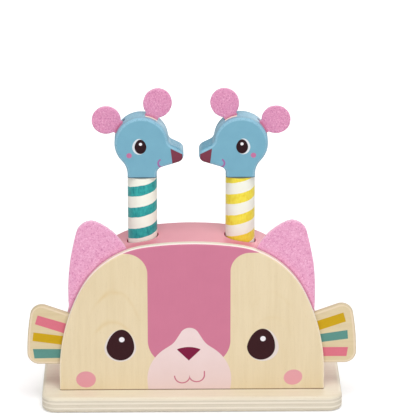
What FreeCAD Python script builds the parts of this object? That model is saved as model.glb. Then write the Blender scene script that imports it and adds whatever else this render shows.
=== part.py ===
import FreeCAD, Part
import math
import os
import Sketcher

# Wooden pop-up toy: a half-dome kitten house on a plywood base, with two mice on dowel pegs.
# Each mouse stands in a bore on a sprung plunger, is pressed down with a finger and jumps out.
# Millimetres. +Z up, X to the right of the kitten's face, the face looks along -Y.
# The origin is the middle of the base board's underside.

os.makedirs("parts", exist_ok=True)
doc = FreeCAD.newDocument("PopUpToy")

# ---------------------------------------------------------------- driving dimensions

SIZES = [
    # alias, value, what it is
    ("panel_width", 180.0, "face panel across its foot"),
    ("panel_height", 105.7, "face panel from the base board to its crown"),
    ("panel_thickness", 5.0, "plywood of the face panel"),
    ("panel_edge_radius", 1.2, "sanded front edge of the face panel"),
    ("foot_height", 11.6, "upright stretch at each side of the panel's foot"),
    ("side_radius", 131.4, "slow curve of the panel's flank"),
    ("shoulder_radius", 59.2, "quick curve of the panel's shoulder"),
    ("crown_radius", 220.0, "slow curve over the panel's crown"),
    ("block_depth", 44.0, "solid wood block behind the panel, front to back"),
    ("block_inset", 1.5, "block outline stays this far inside the panel's"),
    ("block_edge_radius", 2.0, "sanded rear edge of the block"),
    ("base_thickness", 11.0, "plywood of the base board"),
    ("base_margin", 14.0, "base board in front of the panel and behind the block"),
    ("base_end_margin", 12.0, "base board beyond the panel at each end"),
    ("base_corner_radius", 10.0, "base board corners seen from above"),
    ("base_edge_radius", 2.4, "sanded rims of the base board"),
    ("nose_room", 10.4, "room between the two noses when the mice face each other"),
    ("peg_gap", 0.6, "room between a peg and the bore that guides it"),
    ("bore_lip", 0.6, "broken edge round each bore's mouth"),
    ("recess_gap", 0.4, "room round a felt or plywood tab in its recess"),
    ("felt_thickness", 3.0, "wool felt of all the ears"),
    ("ear_root_inset", 47.4, "kitten ear: inner edge of its tab, inwards from the panel's side"),
    ("ear_root_drop", 7.1, "kitten ear: top of its straight inner edge, below the panel's crown"),
    ("ear_tip_inset", 22.7, "kitten ear: middle of the round tip, inwards from the panel's side"),
    ("ear_tip_rise", 3.9, "kitten ear: middle of the round tip, above the panel's crown"),
    ("ear_tip_radius", 11.0, "kitten ear: round tip"),
    ("ear_inner_radius", 42.0, "kitten ear: curve of the inner edge"),
    ("ear_outer_radius", 180.0, "kitten ear: curve of the outer edge"),
    ("ear_foot_inset", 7.1, "kitten ear: outer end of its foot, inwards from the panel's side"),
    ("ear_fin_gap", 1.6, "room between the kitten ear's foot and the whisker piece below it"),
    ("fin_thickness", 4.0, "plywood of the side whisker pieces"),
    ("fin_tab", 18.0, "whisker piece: length behind the panel"),
    ("fin_reach", 21.6, "whisker piece: length beyond the panel's side"),
    ("fin_bottom_z", 17.3, "whisker piece: lower edge above the base board"),
    ("fin_root_height", 32.3, "whisker piece: height of its hidden inner end"),
    ("fin_outer_height", 45.3, "whisker piece: height of its outer end"),
    ("fin_shoulder_inset", 4.2, "whisker piece: upper outer corner, inwards from the lower one"),
    ("fin_side_radius", 160.0, "whisker piece: curve of the outer edge"),
    ("fin_corner_radius", 8.0, "whisker piece: rounded corners"),
    ("fin_edge_radius", 0.8, "whisker piece: sanded edges"),
    ("base_screw_inset", 20.5, "base screws, inwards from the block's side"),
    ("base_screw_spacing_y", 22.0, "base screws from front to back"),
    ("base_screw_shank", 4.0, "base screw shank diameter"),
    ("base_screw_head", 8.0, "base screw countersunk head diameter"),
    ("base_screw_length", 34.0, "base screw from head to tip"),
    ("base_screw_tip", 4.0, "pointed end of a base screw"),
    ("base_screw_sink", 0.3, "base screw heads lie this far above the board's underside"),
    ("seat_height", 4.0, "spring seat flange"),
    ("seat_spigot_height", 5.0, "spring seat spigot inside the lowest coils"),
    ("seat_gap", 0.2, "room between a spring seat and its bore"),
    ("seat_screw_shank", 3.5, "spring seat screw shank diameter"),
    ("seat_screw_head", 7.0, "spring seat screw head diameter"),
    ("seat_screw_rise", 2.2, "spring seat screw head height"),
    ("seat_screw_rim", 0.8, "rounded rim of a spring seat screw head"),
    ("seat_screw_tip", 3.0, "pointed end of a spring seat screw"),
    ("seat_screw_floor", 3.0, "base board left under a spring seat screw"),
    ("recess_cross_width", 1.0, "cross recess in a screw head: slot width"),
    ("recess_cross_depth", 1.2, "cross recess in a screw head: depth"),
    ("recess_cross_share", 0.55, "cross recess in a screw head: length over the head's diameter"),
    ("spring_length", 60.4, "free spring between seat and plunger"),
    ("spring_wire", 0.95, "spring wire diameter"),
    ("spring_turns", 11.0, "open turns of the spring"),
    ("spring_runs", 16.0, "short runs that the wire is bent in, per turn"),
    ("spring_gap", 1.5, "room between the spring and its bore"),
    ("closed_coil_gap", 0.12, "room between the closed coils at each end of the spring"),
    ("spigot_gap", 0.2, "room between a spigot and the coils round it"),
    ("plunger_height", 8.0, "plunger disc"),
    ("plunger_nose", 6.0, "plunger spigot inside the highest coils"),
    ("plunger_chamfer", 0.8, "broken edges of the plunger disc"),
    ("plunger_gap", 0.4, "room between the plunger and its bore"),
    ("pad_thickness", 2.0, "felt disc on the plunger"),
    ("pad_gap", 1.0, "felt disc stays this far inside the bore"),
    ("peg_diameter", 19.8, "dowel that carries a mouse"),
    ("neck_rise", 42.2, "mouse's neck above the block's crown"),
    ("peg_foot_radius", 1.5, "rounded foot of the dowel"),
    ("dowel_diameter", 6.0, "glue dowel between peg and head"),
    ("dowel_length", 20.0, "glue dowel"),
    ("glue_gap", 0.05, "room for glue round a dowel or screw"),
    ("drill_spare", 0.5, "blind holes are drilled this much deeper than what they hold"),
    ("head_thickness", 18.0, "mouse head plate"),
    ("head_rim_radius", 2.0, "sanded rims of the mouse head"),
    ("cranium_radius", 18.0, "round back of the mouse head"),
    ("cranium_x", -0.4, "middle of the round back, from the peg's axis towards the nose"),
    ("cranium_z", 23.9, "middle of the round back above the neck"),
    ("neck_inset", 0.1, "mouse neck stays this far inside the peg"),
    ("nape_radius", 14.0, "hollow between neck and round back"),
    ("throat_radius", 5.0, "hollow between neck and chin"),
    ("brow_radius", 5.0, "hollow between round back and snout"),
    ("snout_x", 22.8, "middle of the snout's round end, from the peg's axis"),
    ("snout_z", 15.5, "middle of the snout's round end, above the neck"),
    ("snout_radius", 5.0, "round end of the snout"),
    ("brow_angle", 26.6, "slope of the snout's upper edge, degrees"),
    ("chin_angle", 17.4, "slope of the snout's lower edge, degrees"),
    ("mouse_ear_radius", 9.4, "round felt ear of a mouse"),
    ("mouse_ear_standoff", 9.2, "from the head's round back to the middle of an ear"),
    ("mouse_ear_tab", 9.0, "felt tab width in the head's slot"),
    ("mouse_ear_depth", 6.0, "felt tab depth in the head"),
    ("slot_gap", 0.2, "room round a felt tab in its slot"),
    ("rear_ear_angle", 147.8, "ear at the back of the head, degrees from the nose upwards"),
    ("crown_ear_angle", 67.2, "ear on top of the head, degrees from the nose upwards"),
]

sizes = doc.addObject("Spreadsheet::Sheet", "Sizes")
for row, (alias, amount, note) in enumerate(SIZES, start=1):
    sizes.set(f"A{row}", alias)
    sizes.set(f"B{row}", str(amount))
    sizes.set(f"C{row}", note)
    sizes.setAlias(f"B{row}", alias)

# Places and fits that follow from the driving dimensions.
LAYOUT = [
    ("base_length", "Sizes.panel_width + 2 * Sizes.base_end_margin"),
    ("base_depth", "Sizes.panel_thickness + Sizes.block_depth + 2 * Sizes.base_margin"),
    ("panel_front_y", "-(Sizes.panel_thickness + Sizes.block_depth) / 2"),
    ("block_front_y", "panel_front_y + Sizes.panel_thickness"),
    ("panel_half", "Sizes.panel_width / 2"),
    ("block_half", "panel_half - Sizes.block_inset"),
    ("block_height", "Sizes.panel_height - Sizes.block_inset"),
    ("block_side_radius", "Sizes.side_radius - Sizes.block_inset"),
    ("block_shoulder_radius", "Sizes.shoulder_radius - Sizes.block_inset"),
    ("block_crown_radius", "Sizes.crown_radius - Sizes.block_inset"),
    ("peg_radius", "Sizes.peg_diameter / 2"),
    ("bore_radius", "peg_radius + Sizes.peg_gap"),
    ("bore_x", "Sizes.snout_x + Sizes.snout_radius + Sizes.nose_room / 2"),
    ("bore_y", "block_front_y + Sizes.block_depth / 2"),
    ("bore_inset", "bore_y - block_front_y"),
    ("fin_layer_y", "block_front_y + Sizes.fin_thickness / 2"),
    ("fin_root_x", "panel_half - Sizes.fin_tab"),
    ("fin_outer_x", "panel_half + Sizes.fin_reach"),
    ("fin_shoulder_x", "fin_outer_x - Sizes.fin_shoulder_inset"),
    ("fin_root_z", "Sizes.fin_bottom_z + Sizes.fin_root_height"),
    ("fin_shoulder_z", "Sizes.fin_bottom_z + Sizes.fin_outer_height"),
    ("fin_slope", "(fin_shoulder_z - fin_root_z) / (fin_shoulder_x - fin_root_x)"),
    ("half_fin", "Sizes.fin_thickness / 2"),
    ("ear_layer_y", "block_front_y + Sizes.felt_thickness / 2"),
    ("ear_root_x", "panel_half - Sizes.ear_root_inset"),
    ("ear_root_z", "Sizes.panel_height - Sizes.ear_root_drop"),
    ("ear_tip_x", "panel_half - Sizes.ear_tip_inset"),
    ("ear_tip_z", "Sizes.panel_height + Sizes.ear_tip_rise"),
    ("ear_foot_x", "panel_half - Sizes.ear_foot_inset"),
    ("ear_foot_z", "fin_root_z + (ear_foot_x - fin_root_x) * fin_slope + Sizes.ear_fin_gap"),
    ("ear_recess_x", "ear_root_x - Sizes.recess_gap"),
    ("ear_recess_z", "ear_foot_z - Sizes.recess_gap"),
    ("fin_recess_x", "fin_root_x - Sizes.recess_gap"),
    ("fin_recess_z", "Sizes.fin_bottom_z - Sizes.recess_gap"),
    ("base_screw_x", "block_half - Sizes.base_screw_inset"),
    ("base_screw_pitch_x", "2 * base_screw_x"),
    ("base_screw_y", "Sizes.base_screw_spacing_y / 2"),
    ("base_screw_hole", "Sizes.base_screw_shank / 2 + Sizes.glue_gap"),
    ("base_screw_top", "Sizes.base_screw_sink + Sizes.base_screw_length"),
    ("base_screw_bite", "base_screw_top - Sizes.base_thickness + Sizes.drill_spare"),
    ("base_screw_radius", "Sizes.base_screw_shank / 2"),
    ("base_screw_head_radius", "Sizes.base_screw_head / 2"),
    ("base_screw_taper", "Sizes.base_screw_length - Sizes.base_screw_tip"),
    ("base_slot_half", "base_screw_head_radius * Sizes.recess_cross_share"),
    ("first_screw_y", "bore_y - base_screw_y"),
    ("countersink", "base_screw_head_radius - base_screw_radius"),
    ("countersink_mouth", "countersink + Sizes.base_screw_sink"),
    ("half_slot_width", "Sizes.recess_cross_width / 2"),
    ("seat_top", "Sizes.base_thickness + Sizes.seat_height"),
    ("seat_radius", "bore_radius - Sizes.seat_gap"),
    ("seat_full_height", "Sizes.seat_height + Sizes.seat_spigot_height"),
    ("seat_screw_hole", "Sizes.seat_screw_shank / 2 + Sizes.glue_gap"),
    ("seat_screw_z", "Sizes.base_thickness + seat_full_height"),
    ("seat_screw_bite", "Sizes.base_thickness - Sizes.seat_screw_floor"),
    ("seat_screw_pilot", "seat_screw_bite + Sizes.drill_spare"),
    ("seat_screw_radius", "Sizes.seat_screw_shank / 2"),
    ("seat_screw_head_radius", "Sizes.seat_screw_head / 2"),
    ("seat_screw_length", "seat_full_height + seat_screw_bite"),
    ("seat_screw_taper", "seat_screw_length - Sizes.seat_screw_tip"),
    ("seat_slot_half", "seat_screw_head_radius * Sizes.recess_cross_share"),
    ("coil_radius", "bore_radius - Sizes.spring_gap - Sizes.spring_wire / 2"),
    ("spigot_radius", "coil_radius - Sizes.spring_wire / 2 - Sizes.spigot_gap"),
    ("closed_pitch", "Sizes.spring_wire + Sizes.closed_coil_gap"),
    ("open_height", "Sizes.spring_length - Sizes.spring_wire - 2 * closed_pitch"),
    ("open_pitch", "open_height / Sizes.spring_turns"),
    ("plunger_z", "seat_top + Sizes.spring_length"),
    ("plunger_radius", "bore_radius - Sizes.plunger_gap"),
    ("pad_z", "plunger_z + Sizes.plunger_height"),
    ("pad_radius", "bore_radius - Sizes.pad_gap"),
    ("peg_z", "pad_z + Sizes.pad_thickness"),
    ("neck_z", "Sizes.base_thickness + block_height + Sizes.neck_rise"),
    ("peg_length", "neck_z - peg_z"),
    ("dowel_radius", "Sizes.dowel_diameter / 2"),
    ("dowel_hole", "dowel_radius + Sizes.glue_gap"),
    ("dowel_hole_depth", "Sizes.dowel_length / 2 + Sizes.drill_spare"),
    ("dowel_z", "neck_z - Sizes.dowel_length / 2"),
    ("half_head", "Sizes.head_thickness / 2"),
    ("half_neck", "peg_radius - Sizes.neck_inset"),
    ("brow_direction", "180 - Sizes.brow_angle"),
    ("mouse_ear_reach", "Sizes.cranium_radius + Sizes.mouse_ear_standoff"),
    ("half_tab", "Sizes.mouse_ear_tab / 2"),
    ("tab_foot", "Sizes.cranium_radius - Sizes.mouse_ear_depth"),
    ("half_slot", "half_tab + Sizes.slot_gap"),
    ("slot_foot", "tab_foot - Sizes.slot_gap"),
    ("slot_thickness", "Sizes.felt_thickness + 2 * Sizes.slot_gap"),
]

layout = doc.addObject("Spreadsheet::Sheet", "Layout")
for row, (alias, formula) in enumerate(LAYOUT, start=1):
    layout.set(f"A{row}", alias)
    layout.set(f"B{row}", "=" + formula)
    layout.setAlias(f"B{row}", alias)
    doc.recompute()


# ---------------------------------------------------------------- how the pieces are drawn

NEAR = 0.01  # places closer together than this count as one


def number(name):
    """The present value of a named cell, or of its opposite where the name starts with a minus."""
    sign = -1.0 if name.startswith("-") else 1.0
    sheet_name, alias = name.lstrip("-").split(".")
    return sign * float(doc.getObject(sheet_name).get(alias))


def point(x, z):
    return FreeCAD.Vector(x, z, 0)


def circles_meet(centre_a, radius_a, centre_b, radius_b, left_of_line):
    """Where two circles cross, on the chosen side of the line from the first to the second."""
    span = centre_b - centre_a
    along = (radius_a ** 2 - radius_b ** 2 + span.Length ** 2) / (2 * span.Length)
    across = math.sqrt(max(radius_a ** 2 - along ** 2, 0.0))
    unit = span / span.Length
    normal = point(-unit.y, unit.x)
    if not left_of_line:
        normal = normal * -1
    return centre_a + unit * along + normal * across


def angle_of(vector):
    return math.atan2(vector.y, vector.x) % (2 * math.pi)


def arc(centre, radius, start, end):
    """An arc that runs anticlockwise from one point to another."""
    circle = Part.Circle(centre, FreeCAD.Vector(0, 0, 1), radius)
    return Part.ArcOfCircle(circle, angle_of(start - centre), angle_of(end - centre))


def new_body(label):
    body = doc.addObject("PartDesign::Body", label)
    body.Label = label
    return body


def origin_plane(body, role):
    return next(item for item in body.Origin.OriginFeatures if item.Role == role)


def new_sketch(body, role, name, lift=None):
    """A sketch on one of the body's own origin planes, lifted along its normal by a named cell."""
    sketch = body.newObject("Sketcher::SketchObject", name)
    sketch.AttachmentSupport = (origin_plane(body, role), [""])
    sketch.MapMode = "FlatFace"
    if lift:
        sketch.setExpression("AttachmentOffset.Base.z", lift)
    return sketch


def bind(sketch, expression, kind, *where):
    """Add a dimension to the sketch and drive it from a named cell."""
    amount = number(expression)
    if kind == "Angle":
        amount = math.radians(amount)
        expression = expression + " * 1 deg"
    index = sketch.addConstraint(Sketcher.Constraint(kind, *where, amount))
    sketch.setExpression(f"Constraints[{index}]", expression)


def tie(sketch, kind, *where):
    sketch.addConstraint(Sketcher.Constraint(kind, *where))


def place_point(sketch, geometry, end, x_name, z_name):
    """Hold one end (1, 2) or middle (3) of a geometry at named distances from the origin."""
    if x_name == "axis":
        tie(sketch, "PointOnObject", geometry, end, -2)
    else:
        bind(sketch, x_name, "DistanceX", -1, 1, geometry, end)
    if z_name == "axis":
        tie(sketch, "PointOnObject", geometry, end, -1)
    else:
        bind(sketch, z_name, "DistanceY", -1, 1, geometry, end)


def draw_circle(sketch, radius, x_name="axis", z_name="axis", where=(0.0, 0.0)):
    circle = sketch.addGeometry(
        Part.Circle(point(*where), FreeCAD.Vector(0, 0, 1), number(radius)), False)
    place_point(sketch, circle, 3, x_name, z_name)
    bind(sketch, radius, "Radius", circle)


def draw_rectangle(sketch, left, right, low, high):
    """A rectangle between four named coordinates; 'axis' stands for zero."""
    x0, x1, z0, z1 = [0.0 if name == "axis" else number(name) for name in (left, right, low, high)]
    corners = [point(x0, z0), point(x1, z0), point(x1, z1), point(x0, z1)]
    first = sketch.GeometryCount
    for index in range(4):
        sketch.addGeometry(Part.LineSegment(corners[index], corners[(index + 1) % 4]), False)
    for index in range(4):
        tie(sketch, "Coincident", first + index, 2, first + (index + 1) % 4, 1)
    tie(sketch, "Horizontal", first)
    tie(sketch, "Vertical", first + 1)
    tie(sketch, "Horizontal", first + 2)
    tie(sketch, "Vertical", first + 3)
    place_point(sketch, first, 1, left, low)
    place_point(sketch, first + 2, 1, right, high)


def pad(body, sketch, name, length, towards_back=False, symmetric=False):
    feature = body.newObject("PartDesign::Pad", name)
    feature.Profile = sketch
    feature.setExpression("Length", length)
    feature.Reversed = towards_back
    if symmetric:
        feature.SideType = "Symmetric"
    doc.recompute()
    return feature


def pocket(body, sketch, name, length=None, reverse=False, symmetric=False):
    """Cut a sketch out of the body to a named depth, or right through; it must take wood away."""
    before = body.Shape.Volume
    feature = body.newObject("PartDesign::Pocket", name)
    feature.Profile = sketch
    feature.Reversed = reverse
    if length:
        feature.setExpression("Length", length)
    else:
        feature.Type = "ThroughAll"
    if symmetric:
        feature.SideType = "Symmetric"
    doc.recompute()
    if not body.Shape.Volume < before:
        raise RuntimeError(f"{body.Label}: {name} cuts nothing")
    return feature


def dress(body, kind, name, edges, size_cell):
    """Round ('Fillet') or break ('Chamfer') the chosen edges of the body's last feature."""
    base = body.Tip
    feature = body.newObject(f"PartDesign::{kind}", name)
    feature.Base = (base, edges)
    feature.setExpression("Radius" if kind == "Fillet" else "Size", size_cell)
    doc.recompute()
    return feature


def edge_names(body, accept):
    """Names of the edges of the body's last feature that the given test accepts."""
    return [f"Edge{index}" for index, edge in enumerate(body.Tip.Shape.Edges, start=1)
            if accept(edge)]


def lies_at(edge, axis, level):
    """Whether a whole edge lies in the plane where the axis ('x', 'y', 'z') has the given value."""
    box = edge.BoundBox
    low, high = getattr(box, axis.upper() + "Min"), getattr(box, axis.upper() + "Max")
    return abs(low - level) < NEAR and abs(high - level) < NEAR


def mirrored(body, feature, name):
    """Repeat a feature on the other side of the body's own YZ plane."""
    copy = body.newObject("PartDesign::Mirrored", name)
    copy.Originals = [feature]
    copy.MirrorPlane = (origin_plane(body, "YZ_Plane"), [""])
    body.Tip = copy
    doc.recompute()
    return copy


def stand_at(body, x_name=None, y_name=None, z_name=None, turn=0.0):
    """Turn the body about its upright axis and stand it at named coordinates."""
    body.Placement = FreeCAD.Placement(
        FreeCAD.Vector(0, 0, 0), FreeCAD.Rotation(FreeCAD.Vector(0, 0, 1), turn))
    for axis, name in (("x", x_name), ("y", y_name), ("z", z_name)):
        if name:
            body.setExpression(f"Placement.Base.{axis}", name)


def dome_outline(sketch, half_width, height, side, shoulder, crown):
    """Half-dome: a flat foot, upright heels, and flank, shoulder and crown arcs in one flow."""
    half, top, foot = number(half_width), number(height), number("Sizes.foot_height")
    side_r, shoulder_r, crown_r = number(side), number(shoulder), number(crown)
    side_centre = point(half - side_r, foot)
    crown_centre = point(0, top - crown_r)
    shoulder_centre = circles_meet(
        crown_centre, crown_r - shoulder_r, side_centre, side_r - shoulder_r, True)
    if shoulder_centre.x < 0:
        shoulder_centre = circles_meet(
            crown_centre, crown_r - shoulder_r, side_centre, side_r - shoulder_r, False)

    def touch(big_centre):
        return shoulder_centre + (shoulder_centre - big_centre).normalize() * shoulder_r

    def flip(spot):
        return point(-spot.x, spot.y)

    heel, hip, temple = point(half, foot), touch(side_centre), touch(crown_centre)
    sketch.addGeometry([
        Part.LineSegment(point(-half, 0), point(half, 0)),
        Part.LineSegment(point(half, 0), heel),
        arc(side_centre, side_r, heel, hip),
        arc(shoulder_centre, shoulder_r, hip, temple),
        arc(crown_centre, crown_r, temple, flip(temple)),
        arc(flip(shoulder_centre), shoulder_r, flip(temple), flip(hip)),
        arc(flip(side_centre), side_r, flip(hip), flip(heel)),
        Part.LineSegment(flip(heel), point(-half, 0)),
    ], False)
    tie(sketch, "Coincident", 0, 2, 1, 1)
    tie(sketch, "Coincident", 7, 2, 0, 1)
    for index in range(1, 7):
        tie(sketch, "Tangent", index, 2, index + 1, 1)
    tie(sketch, "Symmetric", 0, 1, 0, 2, -2)
    tie(sketch, "PointOnObject", 0, 2, -1)
    bind(sketch, half_width, "DistanceX", -1, 1, 0, 2)
    tie(sketch, "Vertical", 1)
    tie(sketch, "Vertical", 7)
    bind(sketch, "Sizes.foot_height", "DistanceY", 1, 1, 1, 2)
    tie(sketch, "Equal", 1, 7)
    bind(sketch, side, "Radius", 2)
    tie(sketch, "Equal", 2, 6)
    bind(sketch, shoulder, "Radius", 3)
    tie(sketch, "Equal", 3, 5)
    bind(sketch, crown, "Radius", 4)
    tie(sketch, "PointOnObject", 4, 3, -2)
    rise = sketch.addConstraint(
        Sketcher.Constraint("DistanceY", 4, 3, -1, 1, crown_r - top))
    sketch.setExpression(f"Constraints[{rise}]", f"{crown} - {height}")


# ---------------------------------------------------------------- base board
# Plywood, sawn to a rectangle with round corners and sanded rims. Four countersunk screws come up
# through it into the block, and one smaller screw goes down into it inside each bore.

base = new_body("base_board")
outline = new_sketch(base, "XY_Plane", "base_outline")
half_length, half_depth = number("Layout.base_length") / 2, number("Layout.base_depth") / 2
corners = [point(-half_length, -half_depth), point(half_length, -half_depth),
           point(half_length, half_depth), point(-half_length, half_depth)]
for index in range(4):
    outline.addGeometry(Part.LineSegment(corners[index], corners[(index + 1) % 4]), False)
for index in range(4):
    tie(outline, "Coincident", index, 2, (index + 1) % 4, 1)
tie(outline, "Horizontal", 0)
tie(outline, "Vertical", 1)
tie(outline, "Vertical", 3)
tie(outline, "Symmetric", 0, 1, 2, 1, -1, 1)
bind(outline, "Layout.base_length", "DistanceX", 0, 1, 0, 2)
bind(outline, "Layout.base_depth", "DistanceY", 1, 1, 1, 2)
pad(base, outline, "base_sheet", "Sizes.base_thickness")
upright = edge_names(base, lambda edge: edge.BoundBox.ZLength > number("Sizes.base_thickness") / 2)
dress(base, "Fillet", "base_corners", upright, "Sizes.base_corner_radius")
rims = edge_names(base, lambda edge: lies_at(edge, "z", 0.0)
                  or lies_at(edge, "z", number("Sizes.base_thickness")))
dress(base, "Fillet", "base_rims", rims, "Sizes.base_edge_radius")


def draw_screw_holes(sketch, middle_y):
    """Holes for the four base screws, in pairs to the left and right of the middle."""
    for x_name in ("-Layout.base_screw_x", "Layout.base_screw_x"):
        for y_name in ("-Layout.base_screw_y", "Layout.base_screw_y"):
            where = (number(x_name), number(middle_y) + number(y_name))
            circle = sketch.addGeometry(Part.Circle(
                point(*where), FreeCAD.Vector(0, 0, 1), number("Layout.base_screw_hole")), False)
            bind(sketch, x_name, "DistanceX", -1, 1, circle, 3)
            across = sketch.addConstraint(
                Sketcher.Constraint("DistanceY", -1, 1, circle, 3, where[1]))
            sketch.setExpression(f"Constraints[{across}]", f"{middle_y} + {y_name}")
            bind(sketch, "Layout.base_screw_hole", "Radius", circle)


holes = new_sketch(base, "XY_Plane", "base_screw_places")
draw_screw_holes(holes, "Layout.bore_y")
pocket(base, holes, "base_screw_holes", reverse=True)
hole_rim = 2 * math.pi * number("Layout.base_screw_hole")
mouths = edge_names(base, lambda edge: lies_at(edge, "z", 0.0) and edge.isClosed()
                    and abs(edge.Length - hole_rim) < NEAR)
dress(base, "Chamfer", "base_countersinks", mouths, "Layout.countersink_mouth")

pilots = new_sketch(base, "XY_Plane", "seat_screw_places", "Sizes.base_thickness")
for side_sign in ("-", ""):
    x_name = side_sign + "Layout.bore_x"
    draw_circle(pilots, "Layout.seat_screw_hole", x_name, "Layout.bore_y",
                (number(x_name), number("Layout.bore_y")))
pocket(base, pilots, "seat_screw_pilots", "Layout.seat_screw_pilot")

# ---------------------------------------------------------------- face panel
# Plywood half-dome that carries the kitten's printed face, glued to the front of the block.

panel = new_body("face_panel")
stand_at(panel, y_name="Layout.panel_front_y", z_name="Sizes.base_thickness")
outline = new_sketch(panel, "XZ_Plane", "panel_outline")
dome_outline(outline, "Layout.panel_half", "Sizes.panel_height",
             "Sizes.side_radius", "Sizes.shoulder_radius", "Sizes.crown_radius")
pad(panel, outline, "panel_sheet", "Sizes.panel_thickness", towards_back=True)
front_rim = edge_names(panel, lambda edge: lies_at(edge, "y", 0.0) and not lies_at(edge, "z", 0.0))
dress(panel, "Fillet", "panel_rim", front_rim, "Sizes.panel_edge_radius")

# ---------------------------------------------------------------- body block
# Solid wood half-dome behind the panel. Two bores run right through it from the crown, and its
# front face is recessed for the tabs of the felt ears and of the plywood whisker pieces.

block = new_body("body_block")
stand_at(block, y_name="Layout.block_front_y", z_name="Sizes.base_thickness")
outline = new_sketch(block, "XZ_Plane", "block_outline")
dome_outline(outline, "Layout.block_half", "Layout.block_height", "Layout.block_side_radius",
             "Layout.block_shoulder_radius", "Layout.block_crown_radius")
pad(block, outline, "block_solid", "Sizes.block_depth", towards_back=True)
rear_rim = edge_names(block, lambda edge: lies_at(edge, "y", number("Sizes.block_depth"))
                      and not lies_at(edge, "z", 0.0))
dress(block, "Fillet", "block_rear_rim", rear_rim, "Sizes.block_edge_radius")

bores = new_sketch(block, "XY_Plane", "bore_places")
for side_sign in ("-", ""):
    x_name = side_sign + "Layout.bore_x"
    draw_circle(bores, "Layout.bore_radius", x_name, "Layout.bore_inset",
                (number(x_name), number("Layout.bore_inset")))
pocket(block, bores, "bores", reverse=True)


def rings_a_bore(edge):
    """Whether an edge runs round the upper mouth of either bore."""
    reach = [math.hypot(abs(spot.x) - number("Layout.bore_x"), spot.y - number("Layout.bore_inset"))
             for spot in edge.discretize(5)]
    on_wall = all(abs(length - number("Layout.bore_radius")) < NEAR for length in reach)
    return on_wall and edge.BoundBox.ZMin > NEAR


dress(block, "Fillet", "bore_lips", edge_names(block, rings_a_bore), "Sizes.bore_lip")

recess = new_sketch(block, "XZ_Plane", "ear_recess_outline")
draw_rectangle(recess, "Layout.ear_recess_x", "Layout.panel_half",
               "Layout.ear_recess_z", "Sizes.panel_height")
ear_recess = pocket(block, recess, "ear_recess", "Sizes.felt_thickness")
mirrored(block, ear_recess, "ear_recess_pair")

recess = new_sketch(block, "XZ_Plane", "fin_recess_outline")
draw_rectangle(recess, "Layout.fin_recess_x", "Layout.panel_half",
               "Layout.fin_recess_z", "Layout.ear_recess_z")
fin_recess = pocket(block, recess, "fin_recess", "Sizes.fin_thickness")
mirrored(block, fin_recess, "fin_recess_pair")

pilots = new_sketch(block, "XY_Plane", "block_screw_places")
draw_screw_holes(pilots, "Layout.bore_inset")
pocket(block, pilots, "block_screw_pilots", "Layout.base_screw_bite", reverse=True)

# ---------------------------------------------------------------- turned pieces

def turned(body, name, stations):
    """Turn a closed profile about the body's upright axis, through named (radius, height) pairs."""
    sketch = new_sketch(body, "XZ_Plane", name + "_profile")
    spots = [point(*[0.0 if cell == "axis" else number(cell) for cell in pair])
             for pair in stations]
    count = len(spots)
    for index in range(count):
        sketch.addGeometry(Part.LineSegment(spots[index], spots[(index + 1) % count]), False)
    for index in range(count):
        tie(sketch, "Coincident", index, 2, (index + 1) % count, 1)
    for index, (radius, height) in enumerate(stations):
        place_point(sketch, index, 1, radius, height)
    feature = body.newObject("PartDesign::Revolution", name)
    feature.Profile = sketch
    feature.ReferenceAxis = (sketch, ["V_Axis"])
    feature.Angle = 360
    doc.recompute()
    return feature


def cross_recess(body, half_length, face, reverse):
    """Two crossed slots in a screw head, cut from the named level."""
    slots = []
    for name, across, along in (("slot_across", half_length, "Layout.half_slot_width"),
                                ("slot_along", "Layout.half_slot_width", half_length)):
        sketch = new_sketch(body, "XY_Plane", name + "_outline", face)
        draw_rectangle(sketch, "-" + across, across, "-" + along, along)
        slots.append(pocket(body, sketch, name, "Sizes.recess_cross_depth", reverse=reverse))
    return slots


# ---------------------------------------------------------------- base screws
# Four countersunk wood screws, all in one node, driven up through the base board into the block.

screws = new_body("base_screws")
stand_at(screws, "-Layout.base_screw_x", "Layout.first_screw_y", "Sizes.base_screw_sink")
shank = turned(screws, "base_screw", [
    ("axis", "axis"),
    ("Layout.base_screw_head_radius", "axis"),
    ("Layout.base_screw_radius", "Layout.countersink"),
    ("Layout.base_screw_radius", "Layout.base_screw_taper"),
    ("axis", "Sizes.base_screw_length"),
])
slots = cross_recess(screws, "Layout.base_slot_half", None, True)
row_of_two = screws.newObject("PartDesign::LinearPattern", "screws_along")
row_of_two.Direction = (origin_plane(screws, "X_Axis"), [""])
row_of_two.setExpression("Length", "Layout.base_screw_pitch_x")
row_of_two.Occurrences = 2
column_of_two = screws.newObject("PartDesign::LinearPattern", "screws_across")
column_of_two.Direction = (origin_plane(screws, "Y_Axis"), [""])
column_of_two.setExpression("Length", "Sizes.base_screw_spacing_y")
column_of_two.Occurrences = 2
grid = screws.newObject("PartDesign::MultiTransform", "screw_grid")
grid.Originals = [shank] + slots
grid.Transformations = [row_of_two, column_of_two]
screws.Tip = grid
doc.recompute()

# ---------------------------------------------------------------- what stands in each bore
# From the base up: a turned seat screwed to the base board, a compression spring, a turned wood
# plunger with a felt disc, and the mouse's peg. The mice face each other.


def make_seat(side, x_name):
    seat = new_body("spring_seat_" + side)
    stand_at(seat, x_name, "Layout.bore_y", "Sizes.base_thickness")
    turned(seat, "seat", [
        ("axis", "axis"),
        ("Layout.seat_radius", "axis"),
        ("Layout.seat_radius", "Sizes.seat_height"),
        ("Layout.spigot_radius", "Sizes.seat_height"),
        ("Layout.spigot_radius", "Layout.seat_full_height"),
        ("axis", "Layout.seat_full_height"),
    ])
    hole = new_sketch(seat, "XY_Plane", "seat_hole_outline")
    draw_circle(hole, "Layout.seat_screw_hole")
    pocket(seat, hole, "seat_hole", reverse=True)


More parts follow.
